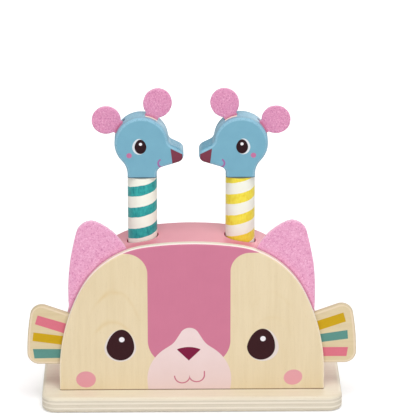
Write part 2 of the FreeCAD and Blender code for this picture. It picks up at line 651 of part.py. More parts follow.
def make_seat_screw(side, x_name):
    screw = new_body("seat_screw_" + side)
    stand_at(screw, x_name, "Layout.bore_y", "Layout.seat_screw_z")
    turned(screw, "seat_screw", [
        ("axis", "Sizes.seat_screw_rise"),
        ("axis", "-Layout.seat_screw_length"),
        ("Layout.seat_screw_radius", "-Layout.seat_screw_taper"),
        ("Layout.seat_screw_radius", "axis"),
        ("Layout.seat_screw_head_radius", "axis"),
        ("Layout.seat_screw_head_radius", "Sizes.seat_screw_rise"),
    ])
    rim = edge_names(screw, lambda edge: lies_at(edge, "z", number("Sizes.seat_screw_rise")))
    dress(screw, "Fillet", "seat_screw_dome", rim, "Sizes.seat_screw_rim")
    cross_recess(screw, "Layout.seat_slot_half", "Sizes.seat_screw_rise", False)


def make_spring(side, x_name):
    """Round wire, bent in short runs, with a closed coil at each end and open turns between them."""
    wire, radius = number("Sizes.spring_wire"), number("Layout.coil_radius")
    open_turns, runs = number("Sizes.spring_turns"), number("Sizes.spring_runs")
    bends = []
    for index in range(round((open_turns + 2) * runs) + 1):
        wound = index / runs
        opened = min(max(wound - 1, 0), open_turns)
        rise = opened * number("Layout.open_pitch") + (wound - opened) * number("Layout.closed_pitch")
        bearing = 2 * math.pi * wound
        bends.append(FreeCAD.Vector(
            radius * math.cos(bearing), radius * math.sin(bearing), wire / 2 + rise))
    section = Part.Wire(Part.Circle(bends[0], bends[1] - bends[0], wire / 2).toShape())
    mitred = 1
    spring = doc.addObject("Part::Feature", "spring_" + side)
    spring.Label = "spring_" + side
    spring.Shape = Part.makePolygon(bends).makePipeShell([section], True, True, mitred)
    stand_at(spring, x_name, "Layout.bore_y", "Layout.seat_top")


def make_plunger(side, x_name):
    plunger = new_body("plunger_" + side)
    stand_at(plunger, x_name, "Layout.bore_y", "Layout.plunger_z")
    turned(plunger, "plunger", [
        ("axis", "-Sizes.plunger_nose"),
        ("Layout.spigot_radius", "-Sizes.plunger_nose"),
        ("Layout.spigot_radius", "axis"),
        ("Layout.plunger_radius", "axis"),
        ("Layout.plunger_radius", "Sizes.plunger_height"),
        ("axis", "Sizes.plunger_height"),
    ])
    rim_length = 2 * math.pi * number("Layout.plunger_radius")
    rims = edge_names(plunger, lambda edge: edge.isClosed() and abs(edge.Length - rim_length) < NEAR)
    dress(plunger, "Chamfer", "plunger_rims", rims, "Sizes.plunger_chamfer")


def make_pad(side, x_name):
    disc = new_body("plunger_pad_" + side)
    stand_at(disc, x_name, "Layout.bore_y", "Layout.pad_z")
    outline = new_sketch(disc, "XY_Plane", "pad_outline")
    draw_circle(outline, "Layout.pad_radius")
    pad(disc, outline, "pad_disc", "Sizes.pad_thickness")


def make_peg(side, x_name):
    peg = new_body("mouse_peg_" + side)
    stand_at(peg, x_name, "Layout.bore_y", "Layout.peg_z")
    outline = new_sketch(peg, "XY_Plane", "peg_outline")
    draw_circle(outline, "Layout.peg_radius")
    pad(peg, outline, "peg_stock", "Layout.peg_length")
    foot = edge_names(peg, lambda edge: lies_at(edge, "z", 0.0))
    dress(peg, "Fillet", "peg_foot", foot, "Sizes.peg_foot_radius")
    hole = new_sketch(peg, "XY_Plane", "peg_dowel_outline", "Layout.peg_length")
    draw_circle(hole, "Layout.dowel_hole")
    pocket(peg, hole, "peg_dowel_hole", "Layout.dowel_hole_depth")


def make_neck_dowel(side, x_name):
    dowel = new_body("neck_dowel_" + side)
    stand_at(dowel, x_name, "Layout.bore_y", "Layout.dowel_z")
    outline = new_sketch(dowel, "XY_Plane", "dowel_outline")
    draw_circle(outline, "Layout.dowel_radius")
    pad(dowel, outline, "dowel_pin", "Sizes.dowel_length")


# ---------------------------------------------------------------- mouse heads
# Each head is sawn from thick plate: a round back, an upright neck and a tapered snout, blended by
# hollows at nape, throat and brow. The rims are sanded round, the neck is left flat for gluing.

MOUSE_EARS = [("rear_ear", "Sizes.rear_ear_angle"), ("crown_ear", "Sizes.crown_ear_angle")]


def snout_outline(sketch):
    """Two sloping edges that run from the peg's axis into the snout's round end."""
    tip, radius = point(number("Sizes.snout_x"), number("Sizes.snout_z")), number("Sizes.snout_radius")
    chin, brow = [math.radians(number(name)) for name in ("Sizes.chin_angle", "Sizes.brow_angle")]
    chin_touch = tip + point(math.sin(chin), -math.cos(chin)) * radius
    brow_touch = tip + point(math.sin(brow), math.cos(brow)) * radius
    chin_root = point(0, chin_touch.y - chin_touch.x * math.tan(chin))
    brow_root = point(0, brow_touch.y + brow_touch.x * math.tan(brow))
    sketch.addGeometry([
        Part.LineSegment(chin_root, chin_touch),
        arc(tip, radius, chin_touch, brow_touch),
        Part.LineSegment(brow_touch, brow_root),
        Part.LineSegment(brow_root, chin_root),
    ], False)
    tie(sketch, "Tangent", 0, 2, 1, 1)
    tie(sketch, "Tangent", 1, 2, 2, 1)
    tie(sketch, "Coincident", 2, 2, 3, 1)
    tie(sketch, "Coincident", 3, 2, 0, 1)
    tie(sketch, "PointOnObject", 0, 1, -2)
    tie(sketch, "PointOnObject", 2, 2, -2)
    place_point(sketch, 1, 3, "Sizes.snout_x", "Sizes.snout_z")
    bind(sketch, "Sizes.snout_radius", "Radius", 1)
    bind(sketch, "Sizes.chin_angle", "Angle", 0)
    bind(sketch, "Layout.brow_direction", "Angle", 2)


def plate_edges(head, accept):
    """Edges straight through the plate, chosen by where they stand: x, z, on the round back or not."""
    def accepted(edge):
        box = edge.BoundBox
        if box.XLength > NEAR or box.ZLength > NEAR:
            return False
        reach = math.hypot(box.XMin - number("Sizes.cranium_x"), box.ZMin - number("Sizes.cranium_z"))
        on_back = abs(reach - number("Sizes.cranium_radius")) < NEAR
        return accept(box.XMin, box.ZMin, on_back)
    return edge_names(head, accepted)


def make_head(side, x_name, turn):
    head = new_body("mouse_head_" + side)
    stand_at(head, x_name, "Layout.bore_y", "Layout.neck_z", turn)

    cranium = head.newObject("PartDesign::AdditiveCylinder", "cranium")
    cranium.setExpression("Radius", "Sizes.cranium_radius")
    cranium.setExpression("Height", "Sizes.head_thickness")
    seam_down = FreeCAD.Rotation(FreeCAD.Vector(0, 0, -1), FreeCAD.Vector(-1, 0, 0),
                                 FreeCAD.Vector(0, 1, 0), "XYZ")
    cranium.Placement = FreeCAD.Placement(FreeCAD.Vector(0, 0, 0), seam_down)
    cranium.setExpression("Placement.Base.x", "Sizes.cranium_x")
    cranium.setExpression("Placement.Base.y", "-Layout.half_head")
    cranium.setExpression("Placement.Base.z", "Sizes.cranium_z")
    doc.recompute()

    neck = new_sketch(head, "XZ_Plane", "neck_outline")
    draw_rectangle(neck, "-Layout.half_neck", "Layout.half_neck", "axis", "Sizes.cranium_z")
    pad(head, neck, "neck", "Sizes.head_thickness", symmetric=True)

    snout = new_sketch(head, "XZ_Plane", "snout_outline")
    snout_outline(snout)
    pad(head, snout, "snout", "Sizes.head_thickness", symmetric=True)

    half_neck = number("Layout.half_neck")
    throat = plate_edges(head, lambda x, z, on_back: not on_back and z > NEAR
                         and abs(x - half_neck) < NEAR)
    dress(head, "Fillet", "throat", throat, "Sizes.throat_radius")
    brow = plate_edges(head, lambda x, z, on_back: on_back and x > half_neck)
    dress(head, "Fillet", "brow", brow, "Sizes.brow_radius")
    nape = plate_edges(head, lambda x, z, on_back: on_back and abs(x + half_neck) < NEAR)
    dress(head, "Fillet", "nape", nape, "Sizes.nape_radius")
    faces_rim = edge_names(head, lambda edge: not lies_at(edge, "z", 0.0) and (
        lies_at(edge, "y", number("Layout.half_head"))
        or lies_at(edge, "y", number("-Layout.half_head"))))
    dress(head, "Fillet", "head_rims", faces_rim, "Sizes.head_rim_radius")

    for name, angle in MOUSE_EARS:
        slot = new_sketch(head, "XZ_Plane", name + "_slot_outline")
        tilt = number(angle) - 90.0
        slot.AttachmentOffset = FreeCAD.Placement(
            FreeCAD.Vector(0, 0, 0), FreeCAD.Rotation(FreeCAD.Vector(0, 0, 1), tilt))
        slot.setExpression("AttachmentOffset.Base.x", "Sizes.cranium_x")
        slot.setExpression("AttachmentOffset.Base.y", "Sizes.cranium_z")
        draw_rectangle(slot, "-Layout.half_slot", "Layout.half_slot",
                       "Layout.slot_foot", "Layout.mouse_ear_reach")
        pocket(head, slot, name + "_slot", "Layout.slot_thickness", symmetric=True)

    hole = new_sketch(head, "XY_Plane", "head_dowel_outline")
    draw_circle(hole, "Layout.dowel_hole")
    pocket(head, hole, "head_dowel_hole", "Layout.dowel_hole_depth", reverse=True)


# ---------------------------------------------------------------- mouse ears
# Round felt discs, each with a straight tab that is glued into a slot across the head's edge.

def make_mouse_ears(side, x_name, turn):
    for name, angle in MOUSE_EARS:
        ear = new_body(f"mouse_{name}_{side}")
        disc = new_sketch(ear, "XZ_Plane", "ear_outline")
        draw_circle(disc, "Sizes.mouse_ear_radius", "axis", "Layout.mouse_ear_reach",
                    (0.0, number("Layout.mouse_ear_reach")))
        pad(ear, disc, "ear_disc", "Sizes.felt_thickness", symmetric=True)
        tab = new_sketch(ear, "XZ_Plane", "ear_tab_outline")
        draw_rectangle(tab, "-Layout.half_tab", "Layout.half_tab",
                       "Layout.tab_foot", "Layout.mouse_ear_reach")
        pad(ear, tab, "ear_tab", "Sizes.felt_thickness", symmetric=True)
        on_head = FreeCAD.Placement(
            FreeCAD.Vector(number("Sizes.cranium_x"), 0, number("Sizes.cranium_z")),
            FreeCAD.Rotation(FreeCAD.Vector(0, 1, 0), 90.0 - number(angle)))
        on_toy = FreeCAD.Placement(
            FreeCAD.Vector(number(x_name), number("Layout.bore_y"), number("Layout.neck_z")),
            FreeCAD.Rotation(FreeCAD.Vector(0, 0, 1), turn))
        ear.Placement = on_toy * on_head


for side, x_name, turn in (("left", "-Layout.bore_x", 0.0), ("right", "Layout.bore_x", 180.0)):
    make_seat(side, x_name)
    make_seat_screw(side, x_name)
    make_spring(side, x_name)
    make_plunger(side, x_name)
    make_pad(side, x_name)
    make_peg(side, x_name)
    make_neck_dowel(side, x_name)
    make_head(side, x_name, turn)
    make_mouse_ears(side, x_name, turn)

# ---------------------------------------------------------------- kitten ears
# Felt, cut as one leaf with a square tab. The tab is glued between the face panel and the block.


def ear_outline(sketch):
    """Foot, outer edge, round tip and inner edge of a kitten's ear, with its square tab."""
    root = point(number("Layout.ear_root_x"), number("Layout.ear_foot_z"))
    foot = point(number("Layout.ear_foot_x"), number("Layout.ear_foot_z"))
    notch = point(number("Layout.ear_root_x"), number("Layout.ear_root_z"))
    tip = point(number("Layout.ear_tip_x"), number("Layout.ear_tip_z"))
    tip_r, outer_r, inner_r = [number(f"Sizes.ear_{name}_radius") for name in ("tip", "outer", "inner")]
    outer = circles_meet(foot, outer_r, tip, outer_r - tip_r, True)
    inner = circles_meet(notch, inner_r, tip, inner_r - tip_r, False)
    outer_touch = tip + (tip - outer).normalize() * tip_r
    inner_touch = tip + (tip - inner).normalize() * tip_r
    sketch.addGeometry([
        Part.LineSegment(root, foot),
        arc(outer, outer_r, foot, outer_touch),
        arc(tip, tip_r, outer_touch, inner_touch),
        arc(inner, inner_r, inner_touch, notch),
        Part.LineSegment(notch, root),
    ], False)
    tie(sketch, "Coincident", 0, 2, 1, 1)
    tie(sketch, "Tangent", 1, 2, 2, 1)
    tie(sketch, "Tangent", 2, 2, 3, 1)
    tie(sketch, "Coincident", 3, 2, 4, 1)
    tie(sketch, "Coincident", 4, 2, 0, 1)
    tie(sketch, "Horizontal", 0)
    tie(sketch, "Vertical", 4)
    place_point(sketch, 0, 1, "Layout.ear_root_x", "Layout.ear_foot_z")
    bind(sketch, "Layout.ear_foot_x", "DistanceX", -1, 1, 0, 2)
    bind(sketch, "Layout.ear_root_z", "DistanceY", -1, 1, 4, 1)
    place_point(sketch, 2, 3, "Layout.ear_tip_x", "Layout.ear_tip_z")
    bind(sketch, "Sizes.ear_tip_radius", "Radius", 2)
    bind(sketch, "Sizes.ear_outer_radius", "Radius", 1)
    bind(sketch, "Sizes.ear_inner_radius", "Radius", 3)


for side, turn in (("left", 180.0), ("right", 0.0)):
    ear = new_body("kitten_ear_" + side)
    stand_at(ear, None, "Layout.ear_layer_y", "Sizes.base_thickness", turn)
    outline = new_sketch(ear, "XZ_Plane", "kitten_ear_outline")
    ear_outline(outline)
    pad(ear, outline, "kitten_ear_felt", "Sizes.felt_thickness", symmetric=True)

# ---------------------------------------------------------------- whisker pieces
# Plywood fins with three painted bars, glued into recesses behind the face panel.


def fin_outline(sketch):
    """Level foot, bulging outer edge, sloping top and upright hidden end."""
    low = point(number("Layout.fin_outer_x"), number("Sizes.fin_bottom_z"))
    high = point(number("Layout.fin_shoulder_x"), number("Layout.fin_shoulder_z"))
    root_low = point(number("Layout.fin_root_x"), number("Sizes.fin_bottom_z"))
    root_high = point(number("Layout.fin_root_x"), number("Layout.fin_root_z"))
    bulge = number("Sizes.fin_side_radius")
    centre = circles_meet(low, bulge, high, bulge, True)
    sketch.addGeometry([
        Part.LineSegment(root_low, low),
        arc(centre, bulge, low, high),
        Part.LineSegment(high, root_high),
        Part.LineSegment(root_high, root_low),
    ], False)
    for index in range(4):
        tie(sketch, "Coincident", index, 2, (index + 1) % 4, 1)
    tie(sketch, "Horizontal", 0)
    tie(sketch, "Vertical", 3)
    place_point(sketch, 0, 1, "Layout.fin_root_x", "Sizes.fin_bottom_z")
    bind(sketch, "Layout.fin_outer_x", "DistanceX", -1, 1, 0, 2)
    place_point(sketch, 2, 1, "Layout.fin_shoulder_x", "Layout.fin_shoulder_z")
    bind(sketch, "Layout.fin_root_z", "DistanceY", -1, 1, 3, 1)
    bind(sketch, "Sizes.fin_side_radius", "Radius", 1)


for side, turn in (("left", 180.0), ("right", 0.0)):
    fin = new_body("whisker_fin_" + side)
    stand_at(fin, None, "Layout.fin_layer_y", "Sizes.base_thickness", turn)
    outline = new_sketch(fin, "XZ_Plane", "fin_outline")
    fin_outline(outline)
    pad(fin, outline, "fin_sheet", "Sizes.fin_thickness", symmetric=True)
    outer_corners = edge_names(fin, lambda edge: edge.BoundBox.YLength > number("Layout.half_fin")
                               and edge.BoundBox.XMin > number("Layout.panel_half"))
    dress(fin, "Fillet", "fin_corners", outer_corners, "Sizes.fin_corner_radius")
    edges = edge_names(fin, lambda edge: not lies_at(edge, "x", number("Layout.fin_root_x")) and (
        lies_at(edge, "y", number("Layout.half_fin"))
        or lies_at(edge, "y", number("-Layout.half_fin"))))
    dress(fin, "Fillet", "fin_edges", edges, "Sizes.fin_edge_radius")

# ---------------------------------------------------------------- checks and files

doc.recompute()
sub_parts = [item for item in doc.Objects
             if item.TypeId == "PartDesign::Body" or item.TypeId == "Part::Feature"]
for item in doc.Objects:
    if "Invalid" in item.State or "Error" in item.State:
        raise RuntimeError(f"{item.Label} failed: {item.State}")
for item in sub_parts:
    if item.Shape.isNull() or not item.Shape.isValid():
        raise RuntimeError(f"{item.Label} has no valid shape")
for item in sub_parts:
    item.Shape.exportStep(f"parts/{item.Label}.step")
    box = item.Shape.BoundBox
    print(f"{item.Label}: {len(item.Shape.Solids)} solid(s), {item.Shape.Volume:.1f} mm3, "
          f"{box.XLength:.1f} x {box.YLength:.1f} x {box.ZLength:.1f} mm")
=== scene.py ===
import bmesh
import bpy
import math
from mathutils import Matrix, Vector, noise


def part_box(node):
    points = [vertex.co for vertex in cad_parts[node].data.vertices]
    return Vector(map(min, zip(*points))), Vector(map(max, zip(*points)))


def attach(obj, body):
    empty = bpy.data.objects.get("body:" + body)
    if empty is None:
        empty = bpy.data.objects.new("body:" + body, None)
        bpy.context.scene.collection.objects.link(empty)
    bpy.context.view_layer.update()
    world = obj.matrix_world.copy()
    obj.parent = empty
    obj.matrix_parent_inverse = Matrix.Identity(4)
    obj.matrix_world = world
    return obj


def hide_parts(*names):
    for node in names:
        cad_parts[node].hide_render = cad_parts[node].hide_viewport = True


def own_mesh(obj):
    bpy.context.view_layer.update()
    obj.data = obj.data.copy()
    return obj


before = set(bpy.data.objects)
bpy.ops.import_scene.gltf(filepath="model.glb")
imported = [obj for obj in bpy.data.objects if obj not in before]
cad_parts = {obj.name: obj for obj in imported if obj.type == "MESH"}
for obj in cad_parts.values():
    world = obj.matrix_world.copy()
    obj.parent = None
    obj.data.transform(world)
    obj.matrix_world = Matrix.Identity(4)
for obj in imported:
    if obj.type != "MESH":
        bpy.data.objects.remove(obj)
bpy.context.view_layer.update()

# ---- Table top, camera and lamps -------------------------------------------
# The toy stands on a white table top that fades into a white room. A long lens
# looks down on it, and three soft boxes light it from above, before and behind.

TABLE_R, TABLE_TOP = 4.0, -0.0002
FADE_FROM, FADE_OVER = 160.0, 900.0
LAMPS_AIM = Vector((0, 0, 0.08))
LENS_AIM, LENS_AWAY = Vector((0.011242, -0.002, 0.13427)), 2.0
LENS_DOWN, LENS_ROUND = math.radians(19.51), math.radians(-0.831)
SENSOR, LENS_PIXELS, FRAME_PIXELS = 36.0, 2963, 416


def tint(red, green, blue):
    """A colour as it is read off a swatch, 0 to 255, in the values that the shaders take."""
    values = [((c / 255 + 0.055) / 1.055) ** 2.4 if c > 10 else c / 3294.6 for c in (red, green, blue)]
    return (*values, 1.0)


class Wire:
    """A socket in a node tree, so that places, masks, reliefs and sizes are written as sums."""

    def __init__(self, tree, socket=None):
        self.tree, self.socket = tree, socket

    def node(self, kind, settings, sockets, output=0):
        """Any node: its settings first, then the values or wires of its sockets."""
        made = self.tree.nodes.new(kind if "Node" in kind else "ShaderNode" + kind)
        for name, value in settings.items():
            if name == "stops":
                stops = made.color_ramp.elements
                stops[0].position, stops[1].position = value[0][0], value[-1][0]
                for place, _ in value[1:-1]:
                    stops.new(place)
                for stop, (_, colour) in zip(stops, value):
                    stop.color = colour
            else:
                setattr(made, name, value)
        for name, value in sockets.items():
            if isinstance(value, Wire):
                self.tree.links.new(value.socket, made.inputs[name])
            else:
                made.inputs[name].default_value = value
        return Wire(self.tree, made.outputs[output] if made.outputs else None)

    def other(self, output):
        """Another output of the node that this socket belongs to."""
        return Wire(self.tree, self.socket.node.outputs[output])

    def math(self, operation, *values):
        """A sum or function of values and wires."""
        return self.node("Math", {"operation": operation}, dict(enumerate(values)))

    def clip(self):
        """The value held between 0 and 1."""
        return self.node("Clamp", {}, {"Value": self})

    def __add__(self, other): return self.math("ADD", self, other)
    def __radd__(self, other): return self.math("ADD", other, self)
    def __sub__(self, other): return self.math("SUBTRACT", self, other)
    def __rsub__(self, other): return self.math("SUBTRACT", other, self)
    def __mul__(self, other): return self.math("MULTIPLY", self, other)
    def __rmul__(self, other): return self.math("MULTIPLY", other, self)
    def __truediv__(self, other): return self.math("DIVIDE", self, other)
    def __neg__(self): return self.math("MULTIPLY", self, -1.0)
    def __abs__(self): return self.math("ABSOLUTE", self)
    def __gt__(self, other): return self.math("GREATER_THAN", self, other)


def new_finish(name):
    """A new material, the place on its piece in millimetres, and that place's x, y and z."""
    finish = bpy.data.materials.new(name)
    finish.use_nodes = True
    finish.node_tree.nodes.clear()
    metres = Wire(finish.node_tree).node("TexCoord", {}, {}, "Object")
    place = metres.node("VectorMath", {"operation": "SCALE"}, {0: metres, "Scale": 1000.0})
    x = place.node("SeparateXYZ", {}, {0: place})
    return finish, place, x, x.other(1), x.other(2)


def cloud(place, size, detail=2.0, rough=0.5, warp=0.0):
    """Soft noise from 0 to 1 with patches of about that size in millimetres."""
    return place.node("TexNoise", {}, {"Vector": place, "Scale": 1.0 / size, "Detail": detail,
                                       "Roughness": rough, "Distortion": warp})


def over(under, mask, colour):
    """One colour laid over another where the mask is 1."""
    return mask.node("Mix", {"data_type": "RGBA"}, {0: mask, 6: under, 7: colour}, 2)


def span(u, v):
    """The length of a vector from its two sides."""
    return u.math("SQRT", u * u + v * v)


def in_scene(name, mesh):
    """A new object at the origin that shows the mesh."""
    made = bpy.data.objects.new(name, mesh)
    bpy.context.scene.collection.objects.link(made)
    return made


table_mesh = bpy.data.meshes.new("table_top")
table_shape = bmesh.new()
bmesh.ops.create_circle(table_shape, cap_ends=True, segments=96, radius=TABLE_R)
bmesh.ops.translate(table_shape, verts=table_shape.verts, vec=(0, 0, TABLE_TOP))
table_shape.to_mesh(table_mesh)
table_shape.free()
table_top = in_scene("table_top", table_mesh)

table_white, place, x, y, z = new_finish("table_white")
seen = place.node("LightPath", {}, {}, "Is Camera Ray")
paper = over(tint(230, 230, 230), cloud(place, 50.0), tint(233, 233, 233))
matt = place.node("BsdfDiffuse", {}, {"Color": paper})
fade = ((span(x, y) - FADE_FROM) / FADE_OVER).clip()
glow = place.node("Emission", {}, {"Color": seen * (0.33 + 0.5 * fade), "Strength": 1.0})
both = place.node("AddShader", {}, {0: matt, 1: glow})
place.node("OutputMaterial", {}, {"Surface": both})
table_mesh.materials.append(table_white)

room = bpy.data.worlds.new("white_room")
room.use_nodes = True
room.node_tree.nodes.clear()
bpy.context.scene.world = room
camera_ray = Wire(room.node_tree).node("LightPath", {}, {}, "Is Camera Ray")
shown = (camera_ray + camera_ray.other("Is Glossy Ray") + camera_ray.other("Is Transmission Ray")).clip()
glow = shown.node("Background", {}, {"Color": 0.52 + 0.48 * shown, "Strength": 1.0})
glow.node("OutputWorld", {}, {"Surface": glow})

for name, stands_at, width, watts in (("lamp_key", (0.1, -0.65, 1.55), 0.9, 12.9),
                                      ("lamp_fill", (0.15, -1.5, 0.6), 1.2, 4.6),
                                      ("lamp_back", (0.5, 1.6, 0.25), 1.0, 6.0)):
    light = bpy.data.lights.new(name, "AREA")
    light.size, light.energy = width, watts
    soft_box = in_scene(name, light)
    soft_box.location = stands_at
    soft_box.rotation_euler = (LAMPS_AIM - Vector(stands_at)).to_track_quat("-Z", "Y").to_euler()

towards_lens = Vector((math.sin(LENS_ROUND) * math.cos(LENS_DOWN),
                       -math.cos(LENS_ROUND) * math.cos(LENS_DOWN), math.sin(LENS_DOWN)))
lens = bpy.data.cameras.new("camera")
lens.sensor_width, lens.lens, lens.clip_end = SENSOR, SENSOR * LENS_PIXELS / FRAME_PIXELS, 20.0
camera = in_scene("camera", lens)
camera.location = LENS_AIM + towards_lens * LENS_AWAY
camera.rotation_euler = towards_lens.to_track_quat("Z", "Y").to_euler()
bpy.context.scene.camera = camera
bpy.context.scene.view_settings.view_transform = "Standard"

# ---- Base board ------------------------------------------------------------
# An 11 mm board of birch ply with round corners and rims, sanded and sealed
# with clear lacquer. The rims cut through the veneers, which show as stripes.

BOARD_THICK, BOARD_JOINTS = 11.0, (0.5, 2.6, 4.1, 6.1, 7.6, 8.7)


def inside(distance, soft=0.16):
    """1 where a distance is below 0, with an edge as soft as a printed one."""
    return (0.5 - distance / soft).clip()


def shaded(colour, light):
    """A colour made lighter or darker all through by a factor that is about 1."""
    colour = colour if isinstance(colour, Wire) else colour[:3]
    return light.node("VectorMath", {"operation": "SCALE"}, {0: colour, "Scale": light})


def stretched(place, *sides):
    """The place squeezed along its three axes, so that what is laid on it is drawn out there."""
    return place.node("VectorMath", {"operation": "MULTIPLY"}, {0: place, 1: sides})


def close_finish(colour, roughness, relief, **fixed):
    """Joins a finish's colour, roughness and relief in millimetres to its shader."""
    bump = relief.node("Bump", {}, {"Strength": 1.0, "Distance": 0.001, "Height": relief}, "Normal")
    sockets = {"Base Color": colour, "Roughness": roughness, "Normal": bump, "Specular IOR Level": 0.2}
    sockets.update({name.replace("_", " "): value for name, value in fixed.items()})
    shader = relief.node("BsdfPrincipled", {}, sockets)
    relief.node("OutputMaterial", {}, {"Surface": shader})


def put_on(finish, *nodes):
    """Gives every slot of those pieces the finish."""
    for node in nodes:
        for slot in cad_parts[node].material_slots:
            slot.material = finish


def birch(place, along, light, dark):
    """Birch veneer, whose grain runs along one axis: its colour and its relief."""
    squeeze = [1.0, 1.0, 1.0]
    squeeze[along] = 0.055
    grain = stretched(place, *squeeze)
    streak = cloud(grain, 3.2, 3.0, 0.6, 0.6)
    fibre = cloud(grain, 0.45, 2.0, 0.7)
    patch = cloud(place, 34.0, 1.0)
    squeeze[along] = 0.16
    pore = inside(cloud(stretched(place, *squeeze), 0.36, 1.0) - 0.30, 0.08)
    wood = over(light, ((streak - 0.32) * 1.5 + (patch - 0.5) * 0.9).clip(), dark)
    wood = shaded(wood, 0.965 + 0.07 * fibre)
    wood = over(wood, pore * 0.35, tint(205, 178, 136))
    return wood, (fibre - 0.5) * 0.03 - pore * 0.02 + streak * 0.02


def plies(depth, joints, thick):
    """How dark the ply's edge is at a depth: every second veneer shows its end grain."""
    stops, shade = [(0.0, (0, 0, 0, 1))], 0.0
    for joint in joints:
        stops += [((joint - 0.10) / thick, (shade, shade, shade, 1))]
        shade = 1.0 - shade
        stops += [((joint + 0.10) / thick, (shade, shade, shade, 1))]
    stops += [(1.0, (shade, shade, shade, 1))]
    return depth.node("ValToRGB", {"stops": stops}, {0: depth / thick})


base_finish, place, x, y, z = new_finish("base_birch_ply")
wood, relief = birch(place, 0, tint(231, 221, 199), tint(223, 210, 187))
cross = plies(z, BOARD_JOINTS, BOARD_THICK)
wavy = stretched(place, 0.05, 0.05, 1.0)
end_grain = over(tint(218, 207, 187), cloud(wavy, 0.8, 2.0), tint(230, 221, 203))
end_grain = shaded(end_grain, 0.94 + 0.12 * cloud(place, 0.6, 2.0))
top_veneer = shaded(tint(242, 233, 216), 0.97 + 0.06 * cloud(wavy, 1.4, 2.0))
wood = over(wood, inside(z - 9.2, 0.4), top_veneer)
wood = over(wood, cross, end_grain)
glue_line = abs(cross * 2.0 - 1.0)
wood = over(tint(202, 186, 158), glue_line, wood)
close_finish(wood, 0.42 + 0.10 * cross, relief - cross * 0.10)
put_on(base_finish, "base_board")

# ---- Base screws -----------------------------------------------------------
# Four zinc-plated countersunk screws that hold the block to the base from
# below. Their heads sit just inside the underside.

screw_finish, place, x, y, z = new_finish("zinc_plate")
swirl = cloud(stretched(place, 1.0, 1.0, 6.0), 0.5, 3.0)
stain = cloud(place, 2.0, 2.0)
zinc = over(tint(196, 200, 206), stain, tint(168, 172, 180))
close_finish(zinc, 0.26 + 0.18 * swirl, swirl * 0.01, Metallic=1.0)
put_on(screw_finish, "base_screws", "seat_screw_left", "seat_screw_right")

# ---- Body block ------------------------------------------------------------
# A solid block of soft wood, rounded like the face in front of it, sprayed in
# satin pink. Two bores, painted raspberry, take the springs and the pegs.

BORE_X, BORE_Y, BORE_R = 33.0, 2.5, 10.5

block_finish, place, x, y, z = new_finish("pink_satin_paint")
in_bore = inside(span(abs(x) - BORE_X, y - BORE_Y) - BORE_R - 0.25, 0.3)
mottle = cloud(place, 9.0, 3.0)
peel = cloud(place, 1.1, 2.0)
grain = cloud(stretched(place, 0.08, 1.0, 1.0), 0.9, 3.0)
pink = over(tint(224, 148, 160), (mottle * 1.4 - 0.2).clip(), tint(227, 153, 165))
# Painted shade: the paint is made darker and redder at the shoulders, close behind the panel.
painted_shade_by_panel = inside(y + 9.0, 6.0) * inside(25.0 - abs(x), 10.0)
pink = over(pink, 0.75 * painted_shade_by_panel, tint(216, 118, 136))
pink = shaded(pink, 0.965 + 0.04 * peel + 0.03 * grain)
turned = cloud(stretched(place, 0.25, 0.25, 2.4), 0.9, 3.0)
raspberry = over(tint(196, 52, 84), (turned * 1.6 - 0.3).clip(), tint(158, 30, 62))
relief = peel * 0.035 + grain * 0.03 + in_bore * turned * 0.25
close_finish(over(pink, in_bore, raspberry), 0.40 + 0.10 * peel + 0.22 * in_bore, relief)
put_on(block_finish, "body_block")

# ---- Face panel ------------------------------------------------------------
# A 5 mm birch ply panel, glued to the block's front, with a kitten's face
# screen-printed on its flat side. The round rim stays bare wood.

PANEL_FRONT, PANEL_FOOT, PANEL_THICK, PANEL_JOINTS = -24.5, 11.0, 5.0, (2.2, 2.9, 3.6, 4.3)
HEART_X, ARC_RISE, ARC_PITCH = 53.0, 0.06, 20.0
STRIPE_SPLIT = 45.0
MUZZLE_X, BALL_HALF, BALL_HEIGHT, BALL_TALL, BALL_DEEP = -1.8, 28.5, 8.0, 27.0, 36.0
WEDGE_X, WEDGE_HEIGHT, WEDGE_FOOT, WEDGE_R, WEDGE_LEAN = -1.6, 38.5, 16.0, 6.8, math.radians(31.3)
NOSE_X, NOSE_TIP, NOSE_TOP, NOSE_SLOPE = -2.1, 21.4, 31.3, 0.707
SMILE_X, LINE_HALF = -1.7, 0.44
SHINE_R = 1.85


def most(a, b):
    """The larger of two values."""
    return (a if isinstance(a, Wire) else b).math("MAXIMUM", a, b)


def least(a, b):
    """The smaller of two values."""
    return (a if isinstance(a, Wire) else b).math("MINIMUM", a, b)


def rounded(u, v, radius):
    """How far a point lies outside a corner of that radius, from its place beside the arc's centre."""
    return span(most(u, 0.0), most(v, 0.0)) + least(most(u, v), 0.0) - radius


def oval(x, z, middle, height, half, tall, lean=0.0):
    """How far a point lies outside an oval, which may lean."""
    c, s = math.cos(math.radians(lean)), math.sin(math.radians(lean))
    across, up = x - middle, z - height
    if lean:
        across, up = across * c + up * s, up * c - across * s
    return (span(across / half, up / tall) - 1.0) * min(half, tall)


def egg(x, z, middle, height, half, tall, deep, lean=0.0, taper=0.15):
    """How far a point lies outside an egg that narrows towards its top, which may lean."""
    up = most(z - height, 0.0) / tall
    down = most(height - z, 0.0) / deep
    return (span(abs(x - middle - up * lean) / half * (1.0 + taper * up), up + down) - 1.0) * half


def printed_eye(colour, x, z, white, dark, shine, shine_r, rim=tint(230, 218, 212), iris=tint(50, 10, 18)):
    """An eye of an animal face: a pale egg, a dark egg on it and a white shine."""
    colour = over(colour, inside(egg(x, z, *white)), rim)
    colour = over(colour, inside(egg(x, z, *dark)), iris)
    return over(colour, inside(oval(x, z, *shine, shine_r, shine_r)), tint(244, 240, 244))


face_finish, place, x, y, z = new_finish("face_birch_and_print")
h = z - PANEL_FOOT
wood, relief = birch(place, 2, tint(235, 217, 182), tint(227, 207, 168))

